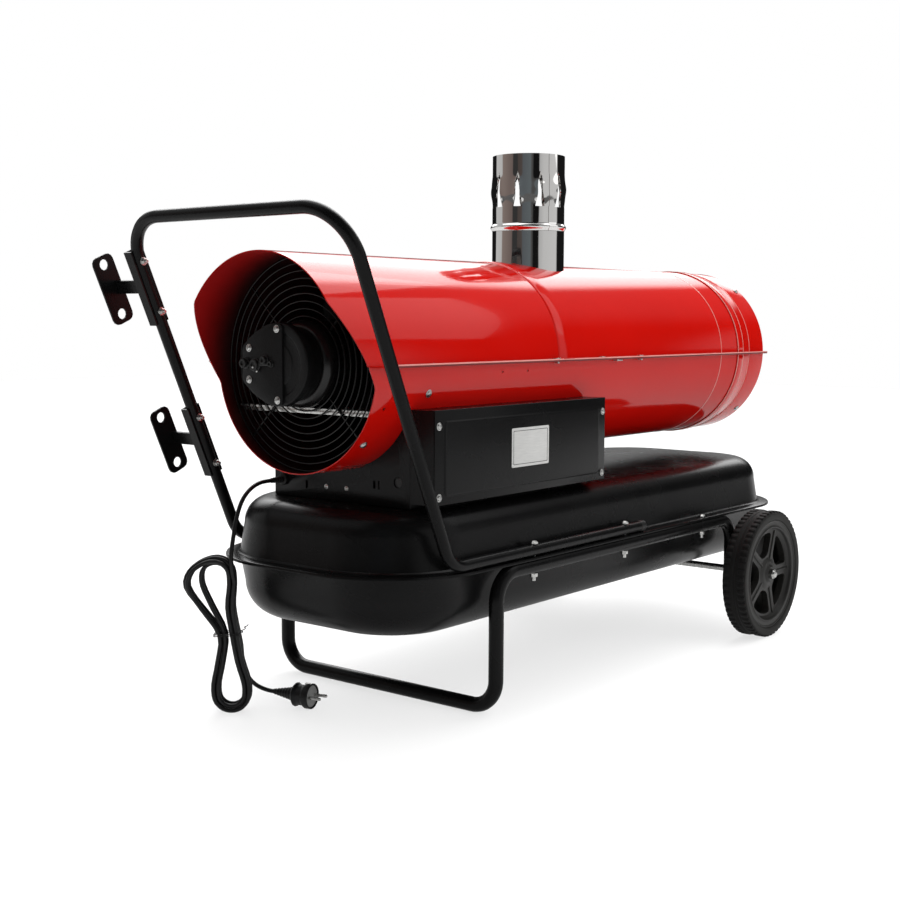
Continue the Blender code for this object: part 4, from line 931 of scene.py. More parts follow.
rim_low = rim_lip
rim_high = wheel_width - rim_lip
rim_inner = rim_radius - rim_wall
web_high = rim_high - web_depth
web_low = web_high - web_thickness
tread = wheel_radius - lug_height
for side, word in ((-1, "near"), (1, "far")):
    body = "wheel_" + word
    place = at(axle_x, side * wheel_inner_y, wheel_radius, to_side[side])
    hub_low, hub_high = hub_inner_y - wheel_inner_y, hub_outer_y - wheel_inner_y
    profile = [(rim_radius, rim_high), (rim_radius, rim_low), (rim_inner, rim_low),
               (rim_inner, web_low), (hub_radius, web_low), (hub_radius, hub_low),
               (axle_radius, hub_low), (axle_radius, hub_high), (hub_radius * 0.55, hub_high),
               (hub_radius * 0.72, hub_high - 0.0035), (hub_radius * 0.98, hub_high - 0.0045),
               (hub_radius * 1.25, web_high), (rim_inner - 0.004, web_high),
               (rim_inner, web_high + 0.004), (rim_inner + 0.001, rim_high - 0.0008),
               (rim_inner + 0.0022, rim_high), (rim_inner + 0.0040, rim_high),
               (rim_inner + 0.0050, rim_high - 0.0014), (rim_radius - 0.003, rim_high - 0.0014),
               (rim_radius - 0.002, rim_high)]
    rim_mesh = lathe(soften(profile, 0.0008, 2, closed=True), rim_sides, closed=True)
    windows = [slab([window_outline(2 * pi * (i + 0.5) / spoke_count)], 2 * wheel_width,
                    at(0, 0, wheel_width / 2)) for i in range(spoke_count)]
    rim_mesh = cut(rim_mesh, joined(*windows))
    low, high = hub_radius * 1.08, rim_inner + 0.002
    ridge = bar((low, -ridge_half, web_high - ridge_half),
                (high, ridge_half, web_high + ridge_half), 0.0014)
    ridges = grown(ring_of_parts, part=ridge, Count=spoke_count, Start=0.0)
    closing = lathe(tube(hub_radius - 0.001, rim_inner + 0.001, rim_low + closing_low,
                         rim_low + closing_high), rim_sides, closed=True)
    rim_mesh = joined(rim_mesh, ridges, closing)
    rim_mesh.transform(place)
    piece("rim_" + word, rim_mesh, wheel_plastic, body, ["wheel_rim_" + word])
    profile = [(rim_radius, wheel_width - 0.0030), (rim_radius + 0.0022, wheel_width - 0.0008),
               (tread - 0.0034, wheel_width), (tread, wheel_width - tyre_shoulder),
               (tread, 0.56 * wheel_width), (tread - tread_groove, 0.54 * wheel_width),
               (tread - tread_groove, 0.46 * wheel_width), (tread, 0.44 * wheel_width),
               (tread, tyre_shoulder), (tread - 0.0034, 0), (rim_radius + 0.0022, 0.0008),
               (rim_radius, 0.0030)]
    tyre = lathe(soften(profile, 0.0022, 3, closed=True), 96, closed=True)
    lugs = []
    for low, start in ((lug_inset, 0.0), (wheel_width - lug_inset - lug_reach, pi / lug_count)):
        block = bar((tread - 0.003, -lug_width / 2, low),
                    (wheel_radius - lug_top_gap, lug_width / 2, low + lug_reach), 0.0009, None, 1)
        lugs.append(grown(ring_of_parts, part=block, Count=lug_count, Start=start))
    tyre = joined(tyre, *lugs)
    tyre.transform(place)
    piece("tyre_with_lugs_" + word, tyre, tyre_rubber, body, ["tyre_" + word])
    nut_place = at(axle_x, side * (hub_outer_y + gap), wheel_radius, to_side[side])
    hexagon = lathe([(0, nut_height * 0.55), (nut_radius * 0.92, nut_height * 0.55),
                     (nut_radius, nut_height * 0.47), (nut_radius, 0), (0, 0)], 6,
                    nut_place, angle=20)
    dome = lathe([(0, nut_height), (nut_radius * 0.35, nut_height * 0.97),
                  (nut_radius * 0.62, nut_height * 0.83), (nut_radius * 0.76, nut_height * 0.62),
                  (nut_radius * 0.80, nut_height * 0.4), (0, nut_height * 0.4)], 32, nut_place)
    piece("cap_nut_" + word, joined(hexagon, dome), zinc,
          replaces=["hub_nut_" + word])

# Screws: zinc plated pan head screws with a cross recess. Every screw on the heater is
# this one head, set on a point and turned to face outwards.
screw_tree = Grower("screw_heads", Part="Object", Head_Radius="Float")
facing = screw_tree.node("GeometryNodeInputNamedAttribute", {"data_type": "FLOAT_VECTOR"},
                         {"Name": "facing"})
pointing = screw_tree.node("FunctionNodeAlignRotationToVector", {"axis": "Z"}, {"Vector": facing})
head = screw_tree.node("GeometryNodeObjectInfo", {},
                       {"Object": screw_tree.given("Part"), "As Instance": True}, "Geometry")
screw_tree.ends(screw_tree.node("GeometryNodeInstanceOnPoints", {}, {
    "Points": screw_tree.given("Geometry"), "Instance": head, "Rotation": pointing,
    "Scale": screw_tree.given("Head_Radius")}))


def screw_head():
    """A pan head of radius one, with its washer face below and a cross recess in its crown."""
    profile = soften([(0, 0.66), (0.55, 0.60), (0.88, 0.36), (0.92, 0.12), (1.18, 0.12), (1.18, 0),
                      (0, 0)], 0.10)
    arms = [bar((-0.46, -0.10, 0.30), (0.46, 0.10, 1.0)),
            bar((-0.10, -0.46, 0.31), (0.10, 0.46, 1.1))]
    return cut(lathe(profile, 24), *arms)


def screws(name, spots, radius):
    """Screw heads at points, each with the direction that it faces."""
    points = bpy.data.meshes.new("spots")
    points.from_pydata([spot for spot, facing in spots], [], [])
    ways = points.attributes.new("facing", "FLOAT_VECTOR", "POINT")
    for slot, (spot, facing) in zip(ways.data, spots):
        slot.vector = facing
    mesh = grown(screw_tree, mesh=points, part=screw_head(), Head_Radius=radius)
    piece(name, mesh, zinc)


# Frame bolts: zinc plated hexagon bolts through handle, flange and rail. Their CAD solids
# have the right six flats and the shank that shows below, so only their finish is new.
coat(zinc, *[f"frame_bolt_{word}_{i}" for word in ("near", "far") for i in (1, 2, 3)])

# Saddle: a folded sheet steel box between tank and casing, its top edges cut to the round
# of the casing. Its end wall has a round hole and three slots, and its far wall an opening
# behind the switch.
saddle_ahead = 0.324
saddle_near_y = 0.1405
saddle_far_y = 0.127
casing_radius = 0.155
casing_low_z = 0.352
casing_z = casing_low_z + casing_radius
saddle_holes = ((-0.118, 0.342, 0.0075, 0.0075), (-0.074, 0.336, 0.0022, 0.0062),
                (-0.083, 0.336, 0.0022, 0.0062), (0.060, 0.326, 0.0022, 0.0062))
panel_low_x = leg_x - saddle_back + 0.30 * (saddle_back + saddle_ahead)
panel_width = 0.2100
panel_low_z = 0.3220
panel_height = 0.0780
middle_z = panel_low_z + panel_height / 2
switch_x = panel_low_x + panel_width / 5
switch_half_width = 0.00725
switch_half_height = 0.012
saddle_screws_ahead = (-0.095, 0.105, 0.311)
saddle_screw_z = tank_top_z + gap + 0.010
saddle_end_screw_z = 0.326
saddle_screw_radius = 0.0030


def on_axis(x):
    """A placement on the casing's axis, its local Z towards the outlet."""
    return at(x, 0, casing_z, to_outlet)


casing_cut = lathe(rod(casing_radius + gap, -2, 2), 128, on_axis(0))
saddle_low = (leg_x - saddle_back, -saddle_near_y, tank_top_z + gap)
saddle_high = (leg_x + saddle_ahead, saddle_far_y, casing_z - casing_radius / 3)
end_wall = at(leg_x - saddle_back, 0, 0, to_inlet)
openings = []
for y, z, half_width, half_high in saddle_holes:
    outline = rounded_rectangle(half_high, half_width, min(half_width, half_high) * 0.98, 6)
    openings.append(slab([[(z + a, y + b) for a, b in outline]], 0.02, end_wall))
openings.append(bar(
    (switch_x - switch_half_width, saddle_far_y - 0.01, middle_z - switch_half_height),
    (switch_x + switch_half_width, saddle_far_y + 0.01, middle_z + switch_half_height)))
inside = bar([value + sheet for value in saddle_low[:2]] + [saddle_low[2] - 0.01],
             [value - sheet for value in saddle_high[:2]] + [saddle_high[2] + 0.01])
saddle_mesh = cut(bar(saddle_low, saddle_high, 0.0012), inside, casing_cut, *openings)
piece("saddle_box", saddle_mesh, black_paint, replaces=["saddle"])
foot_spots = [((leg_x + x, saddle_far_y, saddle_screw_z), (0, 1, 0))
              for x in saddle_screws_ahead]
for x, way, reach in ((leg_x - saddle_back, -1, 0.020), (leg_x + saddle_ahead, 1, 0.080)):
    foot_spots += [((x, y, saddle_end_screw_z), (way, 0, 0)) for y in (-reach, reach)]
screws("saddle_screws", foot_spots, saddle_screw_radius)

# Control box: an open sheet steel tray on the near wall of the saddle. Its pressed cover
# has a raised field and four screws, and carries a bare foil label.
box_near_y = 0.1830
box_low_z = 0.314
box_high_z = 0.4455
field_height = 0.0015
field_inset = 0.021
field_below = 0.013
field_above = 0.017
field_corner = 0.006
field_edge = ((0.0030, -0.0002), (0.0018, 0.0002), (0.0009, 0.0008), (0, 0.0013),
              (-0.0010, field_height))
cover_screws_ahead = (-0.0985, 0.3165)
cover_screw_heights = (0.3252, 0.4238)
cover_screw_radius = 0.0048
coat(black_paint, "control_box_body")
face_y = -box_near_y - gap
cover_low = Vector((leg_x - saddle_back, face_y - sheet, box_low_z))
cover_high = Vector((leg_x + saddle_ahead, face_y, box_high_z))
cover = bar(cover_low, cover_high, 0.0006)
field_place = at((cover_low.x + cover_high.x) / 2 + 0.001, face_y - sheet, 0, to_side[-1])
field_low, field_high = box_low_z + field_below, box_high_z - field_above
bm = bmesh.new()
rows = []
for grow, rise in field_edge:
    outline = rounded_rectangle((cover_high.x - cover_low.x) / 2 - field_inset + grow,
                                (field_high - field_low) / 2 + grow, field_corner + grow, 5)
    rows.append([bm.verts.new((x, y + (field_low + field_high) / 2, rise)) for x, y in outline])
loft(bm, rows, closed=True)
bm.faces.new(rows[-1])
bm.faces.new(reversed(rows[0]))
field = shell_mesh(bm, field_place, 60)
lip = bar((cover_low.x, face_y - sheet, box_high_z - 0.0008),
          (cover_high.x, face_y + 0.010, box_high_z + 0.0004), 0.0005)
piece("control_cover", joined(cover, field, lip), black_paint,
      replaces=["control_box_cover"])
screws("control_cover_screws", [((leg_x + x, face_y - sheet, z), (0, -1, 0))
                                for x in cover_screws_ahead for z in cover_screw_heights],
       cover_screw_radius)

# Label: a bare silver foil with a thin printed frame, stuck on the cover's raised field.
label_width = 0.0950
label_height = 0.0580
label_ahead = 0.1150
label_z = 0.3820
label_thickness = 0.0005
line_thickness = 0.0002
line_insets = (0.004, 0.0047)
label = Finish("label_foil", (0.62, 0.62, 0.60), 0.42)
grain = label.noise(60.0, 2.0, (1.0, 1.0, 9.0))
label.set("Base Color", label.mix(grain, (0.55, 0.55, 0.54), (0.72, 0.72, 0.70)))
label.set("Roughness", grain * 0.2 + 0.32)
outer = face_y - sheet - field_height - gap
label_place = at(leg_x + label_ahead, outer - label_thickness / 2, label_z, to_side[-1])
label_mesh = slab([rounded_rectangle(label_width / 2, label_height / 2, 0.002, 4)], label_thickness,
                  label_place, 0.0001)
piece("label_plate", label_mesh, label.material, replaces=["rating_label"])
frame_line = [rounded_rectangle(label_width / 2 - inset, label_height / 2 - inset, 0.0015, 4)
              for inset in line_insets]
line_mesh = slab(frame_line, line_thickness,
                 label_place @ at(0, 0, label_thickness / 2 + line_thickness / 2))
piece("label_printed_frame", line_mesh, black_plastic)

# Inside the saddle: the ignition transformer in its black case and the green control
# board. They show only through the openings, so their CAD solids stay.
board = Finish("board_laminate", (0.02, 0.14, 0.06), 0.4)
tracks = board.node("ShaderNodeTexVoronoi", {"feature": "DISTANCE_TO_EDGE"},
                    {"Vector": board.place, "Scale": 150.0}, "Distance")
edge = tracks.maths("LESS_THAN", tracks, 0.06)
board.set("Base Color", board.mix(edge, (0.015, 0.10, 0.045), (0.06, 0.24, 0.10)))
board.set("Roughness", edge * 0.2 + 0.3)
coat(board.material, "control_board")
coat(black_plastic, "ignition_transformer", "fuel_line")
coat(zinc, "fuel_pickup", "fuel_strainer", "motor_bracket")

# Operating panel on the far side: a moulded plate with a rocker switch in a bezel, a
# ribbed thermostat knob with a pointer, and a tinted display window.
panel_thickness = 0.0030
bezel_half_width = 0.0105
bezel_half_height = 0.0150
bezel_hole_half_width = 0.0074
bezel_hole_half_height = 0.0121
bezel_height = 0.0018
rocker_play = 0.0024
knob_radius = 0.0170
knob_height = 0.0150
window_width = 0.0420
window_height = 0.0240
window_thickness = 0.0020
tick_count = 12
knob_rib_count = 26
panel_screw_inset = 0.007
panel_screw_radius = 0.0026
switch_throw = radians(16)
panel_face_y = saddle_far_y + gap + panel_thickness
knob_x = panel_low_x + panel_width * 2 / 5 + knob_radius
window_x = panel_low_x + panel_width * 4 / 5


def on_panel(x, out=0.0):
    """A placement off the panel's face, at its middle height, that faces outwards."""
    return at(x, panel_face_y + out, middle_z, to_side[1])


hole = [(panel_width / 5 - panel_width / 2 + x, y)
        for x, y in rounded_rectangle(switch_half_width, switch_half_height, 0.001, 2)]
panel_mesh = slab([rounded_rectangle(panel_width / 2, panel_height / 2, 0.004, 5), hole],
                  panel_thickness, on_panel(panel_low_x + panel_width / 2, -panel_thickness / 2),
                  0.0006)
bezel = slab([rounded_rectangle(bezel_half_width, bezel_half_height, 0.002, 4),
              rounded_rectangle(bezel_hole_half_width, bezel_hole_half_height, 0.0008, 2)],
             bezel_height, on_panel(switch_x), 0.0004)
collar = lathe(tube(knob_radius + 0.0010, knob_radius + 0.0035, 0, 0.0008), 48,
               on_panel(knob_x), True)
outlines = [rounded_rectangle(window_width / 2 + grow, window_height / 2 + grow, corner, steps)
            for grow, corner, steps in ((0.003, 0.002, 4), (0.0003, 0.0006, 2))]
surround = slab(outlines, 0.0024, on_panel(window_x, 0.0012), 0.0005)
piece("operating_panel", joined(panel_mesh, bezel, collar, surround), black_plastic,
      replaces=["control_panel"])
tick = bar((knob_radius + 0.0046, -0.0004, -0.0001), (knob_radius + 0.0078, 0.0004, 0.0001))
ticks = grown(ring_of_parts, part=tick, Count=tick_count, Start=0.0, place=on_panel(knob_x, 0.0001))
white_print = dark_finish("white_print", (0.55, 0.55, 0.54), (0.65, 0.65, 0.64), 0.5, 0.1,
                          500.0, 0.00002)
piece("thermostat_scale", ticks, white_print)
screws("operating_panel_screws", [((panel_low_x + x, panel_face_y, panel_low_z + z), (0, 1, 0))
                                  for x in (panel_screw_inset, panel_width - panel_screw_inset)
                                  for z in (panel_screw_inset, panel_height - panel_screw_inset)],
       panel_screw_radius)
knob_place = on_panel(knob_x, gap)
profile = soften([(0, knob_height - 0.0008), (knob_radius * 0.66, knob_height - 0.0008),
                  (knob_radius * 0.74, knob_height - 0.0003),
                  (knob_radius * 0.83, knob_height - 0.0014), (knob_radius * 0.93, 0.0035),
                  (knob_radius, 0.0020), (knob_radius, 0), (0, 0)], 0.0008)
ribs = grown(ring_of_parts, part=bar((knob_radius * 0.80, -0.0008, 0.0030),
                                     (knob_radius * 0.955, 0.0008, knob_height - 0.0022), 0.0005),
             Count=knob_rib_count, Start=0.0)
knob = joined(lathe(profile, 52), ribs)
knob.transform(knob_place)
piece("thermostat_dial_knob", knob, black_plastic, "thermostat_dial",
      ["thermostat_knob"])
pointer = bar((knob_radius * 0.28, -0.0007, knob_height - 0.0012),
              (knob_radius * 0.80, 0.0007, knob_height - 0.0001), 0.0002, knob_place)
piece("thermostat_pointer", pointer, white_print, "thermostat_dial")
reach = switch_half_height - 0.0012
outline = soften([(reach * cos(switch_throw), 0), (0, 0.00175),
                  (-reach * cos(switch_throw), 0.0035), (-reach / 2, -0.006), (reach / 2, -0.006)],
                 0.0009, 3, closed=True)
rocker_place = at(switch_x, panel_face_y, middle_z) @ Matrix((
    (0, 0, 1, 0), (0, 1, 0, 0), (-1, 0, 0, 0), (0, 0, 0, 1)))
rocker = slab([outline], 2 * switch_half_width - rocker_play, rocker_place, 0.0004)
piece("rocker_switch", rocker, black_plastic, "switch_rocker", ["power_switch"])
tinted = Finish("tinted_window", (0.035, 0.004, 0.004), 0.06, coat_weight=0.6, coat_roughness=0.03)
tinted.set("Roughness", tinted.noise(30.0) * 0.06 + 0.04)
glass = slab([rounded_rectangle(window_width / 2, window_height / 2, 0.001, 3)], window_thickness,
             on_panel(window_x, gap + window_thickness / 2), 0.0004)
piece("display_glass", glass, tinted.material, replaces=["display_window"])

# Fuel fittings on the far side of the tank's top: a zinc plated neck with a ribbed plastic
# cap, and a float gauge with a clear crown. They are turned and moulded parts.
filler_ahead = 0.4900
fitting_y = 0.1120
filler_radius = 0.0220
filler_flange = 0.0320
filler_height = 0.0160
cap_radius = 0.0285
cap_height = 0.0200
gauge_ahead = 0.4000
gauge_radius = 0.0210
gauge_height = 0.0120
gauge_stem_radius = 0.0060
gauge_stem_length = 0.0800
filler_screw_circle = 0.0295
filler_screw_radius = 0.0013
cap_rib_count = 36
seat_z = tank_top_z + gap
filler_place = at(leg_x + filler_ahead, fitting_y, seat_z)
profile = soften([(filler_radius, filler_height), (filler_radius, 0.0035), (filler_flange, sheet),
                  (filler_flange, 0), (filler_radius, 0), (filler_radius, -filler_height),
                  (filler_radius - sheet, -filler_height), (filler_radius - sheet, filler_height)],
                 0.0007, 2, closed=True)
piece("filler_spout", lathe(profile, 56, filler_place, True), zinc,
      replaces=["filler_neck"])
spots = [filler_place @ Vector((filler_screw_circle * cos(radians(60 * i + 30)),
                                filler_screw_circle * sin(radians(60 * i + 30)), sheet))
         for i in range(6)]
screws("filler_screws", [(spot, (0, 0, 1)) for spot in spots], filler_screw_radius)
skirt = sheet + gap + 0.0010
top = sheet + gap + cap_height
profile = soften([(0, top - 0.0020), (cap_radius * 0.60, top - 0.0020), (cap_radius * 0.68, top),
                  (cap_radius - 0.0032, top), (cap_radius - 0.0010, top - 0.0030),
                  (cap_radius - 0.0010, skirt), (filler_radius + 0.0006, skirt),
                  (filler_radius + 0.0006, filler_height + 0.0024), (0, filler_height + 0.0024)],
                 0.0010)
grips = grown(ring_of_parts, part=bar((cap_radius - 0.0016, -0.0011, skirt + 0.0006),
                                      (cap_radius - 0.0001, 0.0011, top - 0.0026), 0.0006),
              Count=cap_rib_count, Start=0.0)
wing = bar((-cap_radius * 0.60, -0.0028, top - 0.003), (cap_radius * 0.60, 0.0028, top - 0.0002),
           0.0012)
cap = joined(lathe(profile, 60), grips, wing)
cap.transform(filler_place)
piece("ribbed_fuel_cap", cap, black_plastic, "fuel_cap", ["filler_cap"])
gauge_place = at(leg_x + gauge_ahead, fitting_y, seat_z)
profile = soften([(0, gauge_height - 0.0040), (gauge_radius - 0.0050, gauge_height - 0.0040),
                  (gauge_radius - 0.0045, gauge_height - 0.0010),
                  (gauge_radius - 0.0025, gauge_height), (gauge_radius, gauge_height - 0.0030),
                  (gauge_radius, 0), (gauge_stem_radius, 0),
                  (gauge_stem_radius, -gauge_stem_length), (0, -gauge_stem_length)], 0.0009)
piece("gauge_housing", lathe(profile, 52, gauge_place), black_plastic,
      replaces=["fuel_gauge"])
crown = lathe([(0, gauge_height - 0.0003), (gauge_radius * 0.4, gauge_height - 0.0008),
               (gauge_radius - 0.0052, gauge_height - 0.0026),
               (gauge_radius - 0.0052, gauge_height - 0.0045), (0, gauge_height - 0.0045)], 48,
              gauge_place)
clear = Finish("gauge_crown", (0.55, 0.10, 0.06), 0.08, coat_weight=0.7, coat_roughness=0.02)
clear.set("Base Color", clear.mix(clear.noise(90.0), (0.48, 0.05, 0.03), (0.62, 0.12, 0.07)))
piece("gauge_crown", crown, clear.material)

# Casing: thin sheet steel, painted gloss red. One lower half and two upper panels, folded
# out to side flanges that are screwed together. The inlet panel laps over the outlet one.
casing_flange = 0.009
casing_flange_start = 0.022
hood_back = 0.260
sill_back = 0.192
hood_above = 0.085
hood_below = 0.030
outlet_ahead = 0.949
lap_ahead = 0.235
lap_width = 0.028
bead_ahead = 0.838
bead_width = 0.024
bead_height = 0.0025
bead_slope = 0.004
groove_ahead = 0.890
groove_width = 0.003
ridge_ahead = 0.775
casing_steps = 96
flue_ahead = 0.366
flue_radius = 0.0608
flue_x = leg_x + flue_ahead
rim_rows = 6
rim_flange_share = 0.17
inlet_hole = (-0.150, 46, 0.0020)
lower_holes = ((-0.166, -22, 0.0024), (0.088, -5.4, 0.0017), (0.152, -5.4, 0.0017))
casing_screw_spots = ((-0.079, -15), (-0.172, -44), (0.934, 50), (0.934, -46))
casing_screw_radius = 0.0051
flange_line_back = 0.180
clip_spots = ((0.220, 0.0050, 0.0020), (0.350, 0.0045, 0.0), (0.400, 0.0, 0.0085),
              (0.470, 0.0045, 0.0025))
red_paint = Finish("gloss_red_enamel", (0.62, 0.006, 0.006), 0.10, coat_weight=0.30,
                   coat_roughness=0.03, specular_ior_level=0.16)
cloud = red_paint.noise(6.0)
red_paint.set("Base Color", red_paint.mix(cloud, (0.56, 0.0036, 0.0012), (0.66, 0.0055, 0.0022)))
red_paint.set("Roughness", red_paint.noise(30.0) * 0.06 + 0.07)
red_paint.bump(red_paint.noise(210.0, 2.0), 0.00006)
red_paint = red_paint.material
# Painted shade: the casing's inner faces take a darker red that fades to near black deeper in the
# inlet, for the shade inside the hood.
shadow_red = Finish("red_enamel_overspray", (0.30, 0.0030, 0.0030), 0.45)
depth = shadow_red.along_axes(shadow_red.place)[0]
cloud = shadow_red.noise(12.0)
inner_shade_fade = shadow_red.eased(depth + cloud * 0.012, leg_x - 0.245, leg_x - 0.165)
shadow_red.set("Base Color", shadow_red.mix(inner_shade_fade, (0.42, 0.0035, 0.0035), (0.020, 0.0010, 0.0010)))
shadow_red.set("Roughness", cloud * 0.2 + 0.35)
shadow_red = shadow_red.material


def hood_x(height):
    """Where the inlet rim stands at a height above or below the casing's axis."""
    share = min(max((hood_above - height) / (hood_above + hood_below), 0.0), 1.0)
    eased = share + 0.10 * (share * share * (3 - 2 * share) - share)
    return leg_x - hood_back + (hood_back - sill_back) * eased


def bead(low, high, height, slope):
    """A pressed bead as stations of place, height and lap, its sides eased into the sheet."""
    rises = [(i / 5, 0.5 - 0.5 * cos(pi * i / 5)) for i in range(6)]
    return ([(low + slope * share, height * rise, 0.0) for share, rise in rises]
            + [(high - slope * share, height * rise, 0.0) for share, rise in reversed(rises)])


def casing_skin(up, stations, from_rim):
    """A half round casing panel with its side flanges, lofted through stations along X."""
    rise = gap / 2 + sheet

    def place(row, column):
        x, swell, lap = stations[row]
        at_flange = column < 2 or column > casing_steps
        radius = casing_radius + lap + (0.0 if at_flange else swell)
        start = asin(rise / radius)
        if column in (0, casing_steps + 2):
            side = -1 if column == 0 else 1
            stub = sheet - casing_flange if from_rim and row == 0 else 0.0
            y = side * (casing_radius + casing_flange + lap + stub)
            height = rise + lap
        else:
            turn = start + (pi - 2 * start) * (column - 1) / casing_steps
            y = -radius * cos(turn)
            height = max(radius * sin(turn), rise + lap)
        if from_rim and row < rim_rows:
            x = hood_x(up * height) + casing_flange_start * row / (rim_rows - 1)
            if row and column in (0, casing_steps + 2):
                y = side * (casing_radius + casing_flange * min(1.0, rim_flange_share
                                                                + row / (rim_rows - 1)))
        return Vector((x, y, casing_z + up * height))

    return bent_skin(len(stations) - 1, casing_steps + 2, place, (0, 0, casing_z), sheet)


def radial_hole(ahead, degrees, radius):
    """A cutter for a hole in the casing, at an angle from its near side, up positive."""
    way = Matrix.Rotation(radians(90 - degrees), 4, "X")
    return lathe(rod(radius, -0.02, 0.02), 16,
                 at(leg_x + ahead, 0, casing_z, way) @ at(0, 0, casing_radius))


end_x = leg_x + outlet_ahead
lap_x = leg_x + lap_ahead
step = sheet + gap
start = [(leg_x - hood_back, 0.0, 0.0)] * rim_rows
ring_beads = bead(leg_x + bead_ahead, leg_x + bead_ahead + bead_width, bead_height, bead_slope)
ring_beads += bead(leg_x + groove_ahead, leg_x + groove_ahead + groove_width, -0.0005, 0.0012)
lower = casing_skin(-1, start + ring_beads + [(end_x, 0.0, 0.0)], True)
inlet = casing_skin(1, start + [(lap_x - step, 0.0, 0.0), (lap_x - step / 2, 0.0, step / 2),
                                (lap_x + step, 0.0, step), (lap_x + lap_width, 0.0, step)], True)
outlet = casing_skin(1, [(lap_x + 2 * step, 0.0, 0.0)] + ring_beads + [(end_x, 0.0, 0.0)], False)
flue_hole = lathe(rod(flue_radius + gap, -0.1, 0.1), 96, at(flue_x, 0, casing_z + casing_radius))
outlet = cut(outlet, flue_hole)
lower = cut(lower, joined(*[radial_hole(*hole) for hole in lower_holes]))
inlet = cut(inlet, radial_hole(*inlet_hole))
for word, mesh in (("lower", lower), ("inlet", inlet), ("outlet", outlet)):
    piece(f"casing_{word}_skin", mesh, red_paint,
          replaces=[f"casing_{word}_panel"])
    # Painted shade: faces that look into the casing take the darker red.
    mesh.materials.append(shadow_red)
    for face in mesh.polygons:
        away = Vector((0, face.center.y, face.center.z - casing_z))
        inwards = face.normal.dot(away.normalized()) < -0.5
        face.material_index = int(inwards and away.length < casing_radius - sheet / 2)
casing_screws = []
for x, turn in casing_screw_spots:
    for side in (-1, 1):
        away = Vector((0, side * cos(radians(turn)), sin(radians(turn))))
        casing_screws.append((Vector((leg_x + x, 0, casing_z)) + away * (casing_radius + 0.0002),
                              away))
screws("casing_screws", casing_screws, casing_screw_radius)
# Painted highlights: thin pale pink lines along the seam ring, the bead's edges, the groove and the
# flange edges stand for the light that these edges catch.
highlight_red = Finish("red_enamel_ridge", (0.85, 0.30, 0.26), 0.22, coat_weight=0.4)
highlight_red.set("Base Color", highlight_red.mix(highlight_red.noise(40.0), (0.82, 0.24, 0.20),
                                        (0.90, 0.40, 0.36)))
highlight_red = highlight_red.material
highlight_lines = []
flange_edge = casing_radius + casing_flange
for x, rise in ((ridge_ahead, 0.0004), (bead_ahead + bead_slope / 2, bead_height),
                (bead_ahead + bead_width - bead_slope / 2, bead_height),
                (groove_ahead - 0.0006, 0.0002)):
    ring = casing_radius + rise
    highlight_lines.append(lathe([(ring - 0.0008, -0.0010), (ring + 0.0001, -0.0006), (ring + 0.0001, 0.0006),
                        (ring - 0.0008, 0.0010)], 144, on_axis(leg_x + x), True))
for edge in (-flange_edge, flange_edge):
    highlight_lines.append(bar((leg_x - flange_line_back, edge - 0.0008, casing_z + 0.0001),
                     (end_x, edge + 0.0008, casing_z + 0.0022), 0.0003))
piece("casing_enamel_ridges", joined(*highlight_lines), highlight_red)
# Painted shadow: a darker red strip below each flange edge stands for the shade under the flange.
flange_shadow_red = dark_finish("red_enamel_in_shade", (0.15, 0.0016, 0.0016), (0.24, 0.0030, 0.0030), 0.35,
                      0.1, 200.0, 0.00004)
flange_shadow_strips = [bar((leg_x - flange_line_back, edge - 0.0007, casing_z - 0.0023),
            (end_x, edge + 0.0007, casing_z - 0.0002), 0.0004)
        for edge in (-flange_edge, flange_edge)]
# The halves stand a hair apart, so a thin strip inside each seam keeps light from showing.
seam_half = gap / 2 + 0.00005
for side in (-1, 1):
    low, high = sorted((side * (casing_radius - 0.0013), side * (casing_radius - 0.0002)))
    flange_shadow_strips.append(bar((hood_x(0) + 0.001, low, casing_z - seam_half),
                    (end_x - 0.001, high, casing_z + seam_half)))
piece("casing_flange_hems", joined(*flange_shadow_strips), flange_shadow_red)
clips = []
for x, above_half, below_half in clip_spots:
    for side in (-1, 1):
        low, high = sorted((side * (flange_edge + 0.0009), side * (flange_edge - 0.0065)))
        for half, foot, crown, rounding in ((above_half, 0.0021, 0.0033, 0.0004),
                                            (below_half, -0.0050, -0.0023, 0.0005)):
            if half:
                clips.append(bar((leg_x + x - half, low, casing_z + foot),
                                 (leg_x + x + half, high, casing_z + crown), rounding))
piece("flange_clips", joined(*clips), zinc)

# Outlet ring: a rolled red ring inside the outlet end, whose lip stiffens the mouth.
outlet_ring_length = 0.0480
outlet_lip = 0.0120
outer = casing_radius - sheet - gap
profile = soften([(outer, 0), (outer, -outlet_ring_length), (outer - sheet, -outlet_ring_length),
                  (outer - sheet, -0.005), (outer - outlet_lip, -sheet - 0.001),
                  (outer - outlet_lip, 0)], 0.0012, 3, closed=True)
piece("outlet_mouth_ring", lathe(profile, 96, on_axis(end_x), True), red_paint,
      replaces=["outlet_ring"])

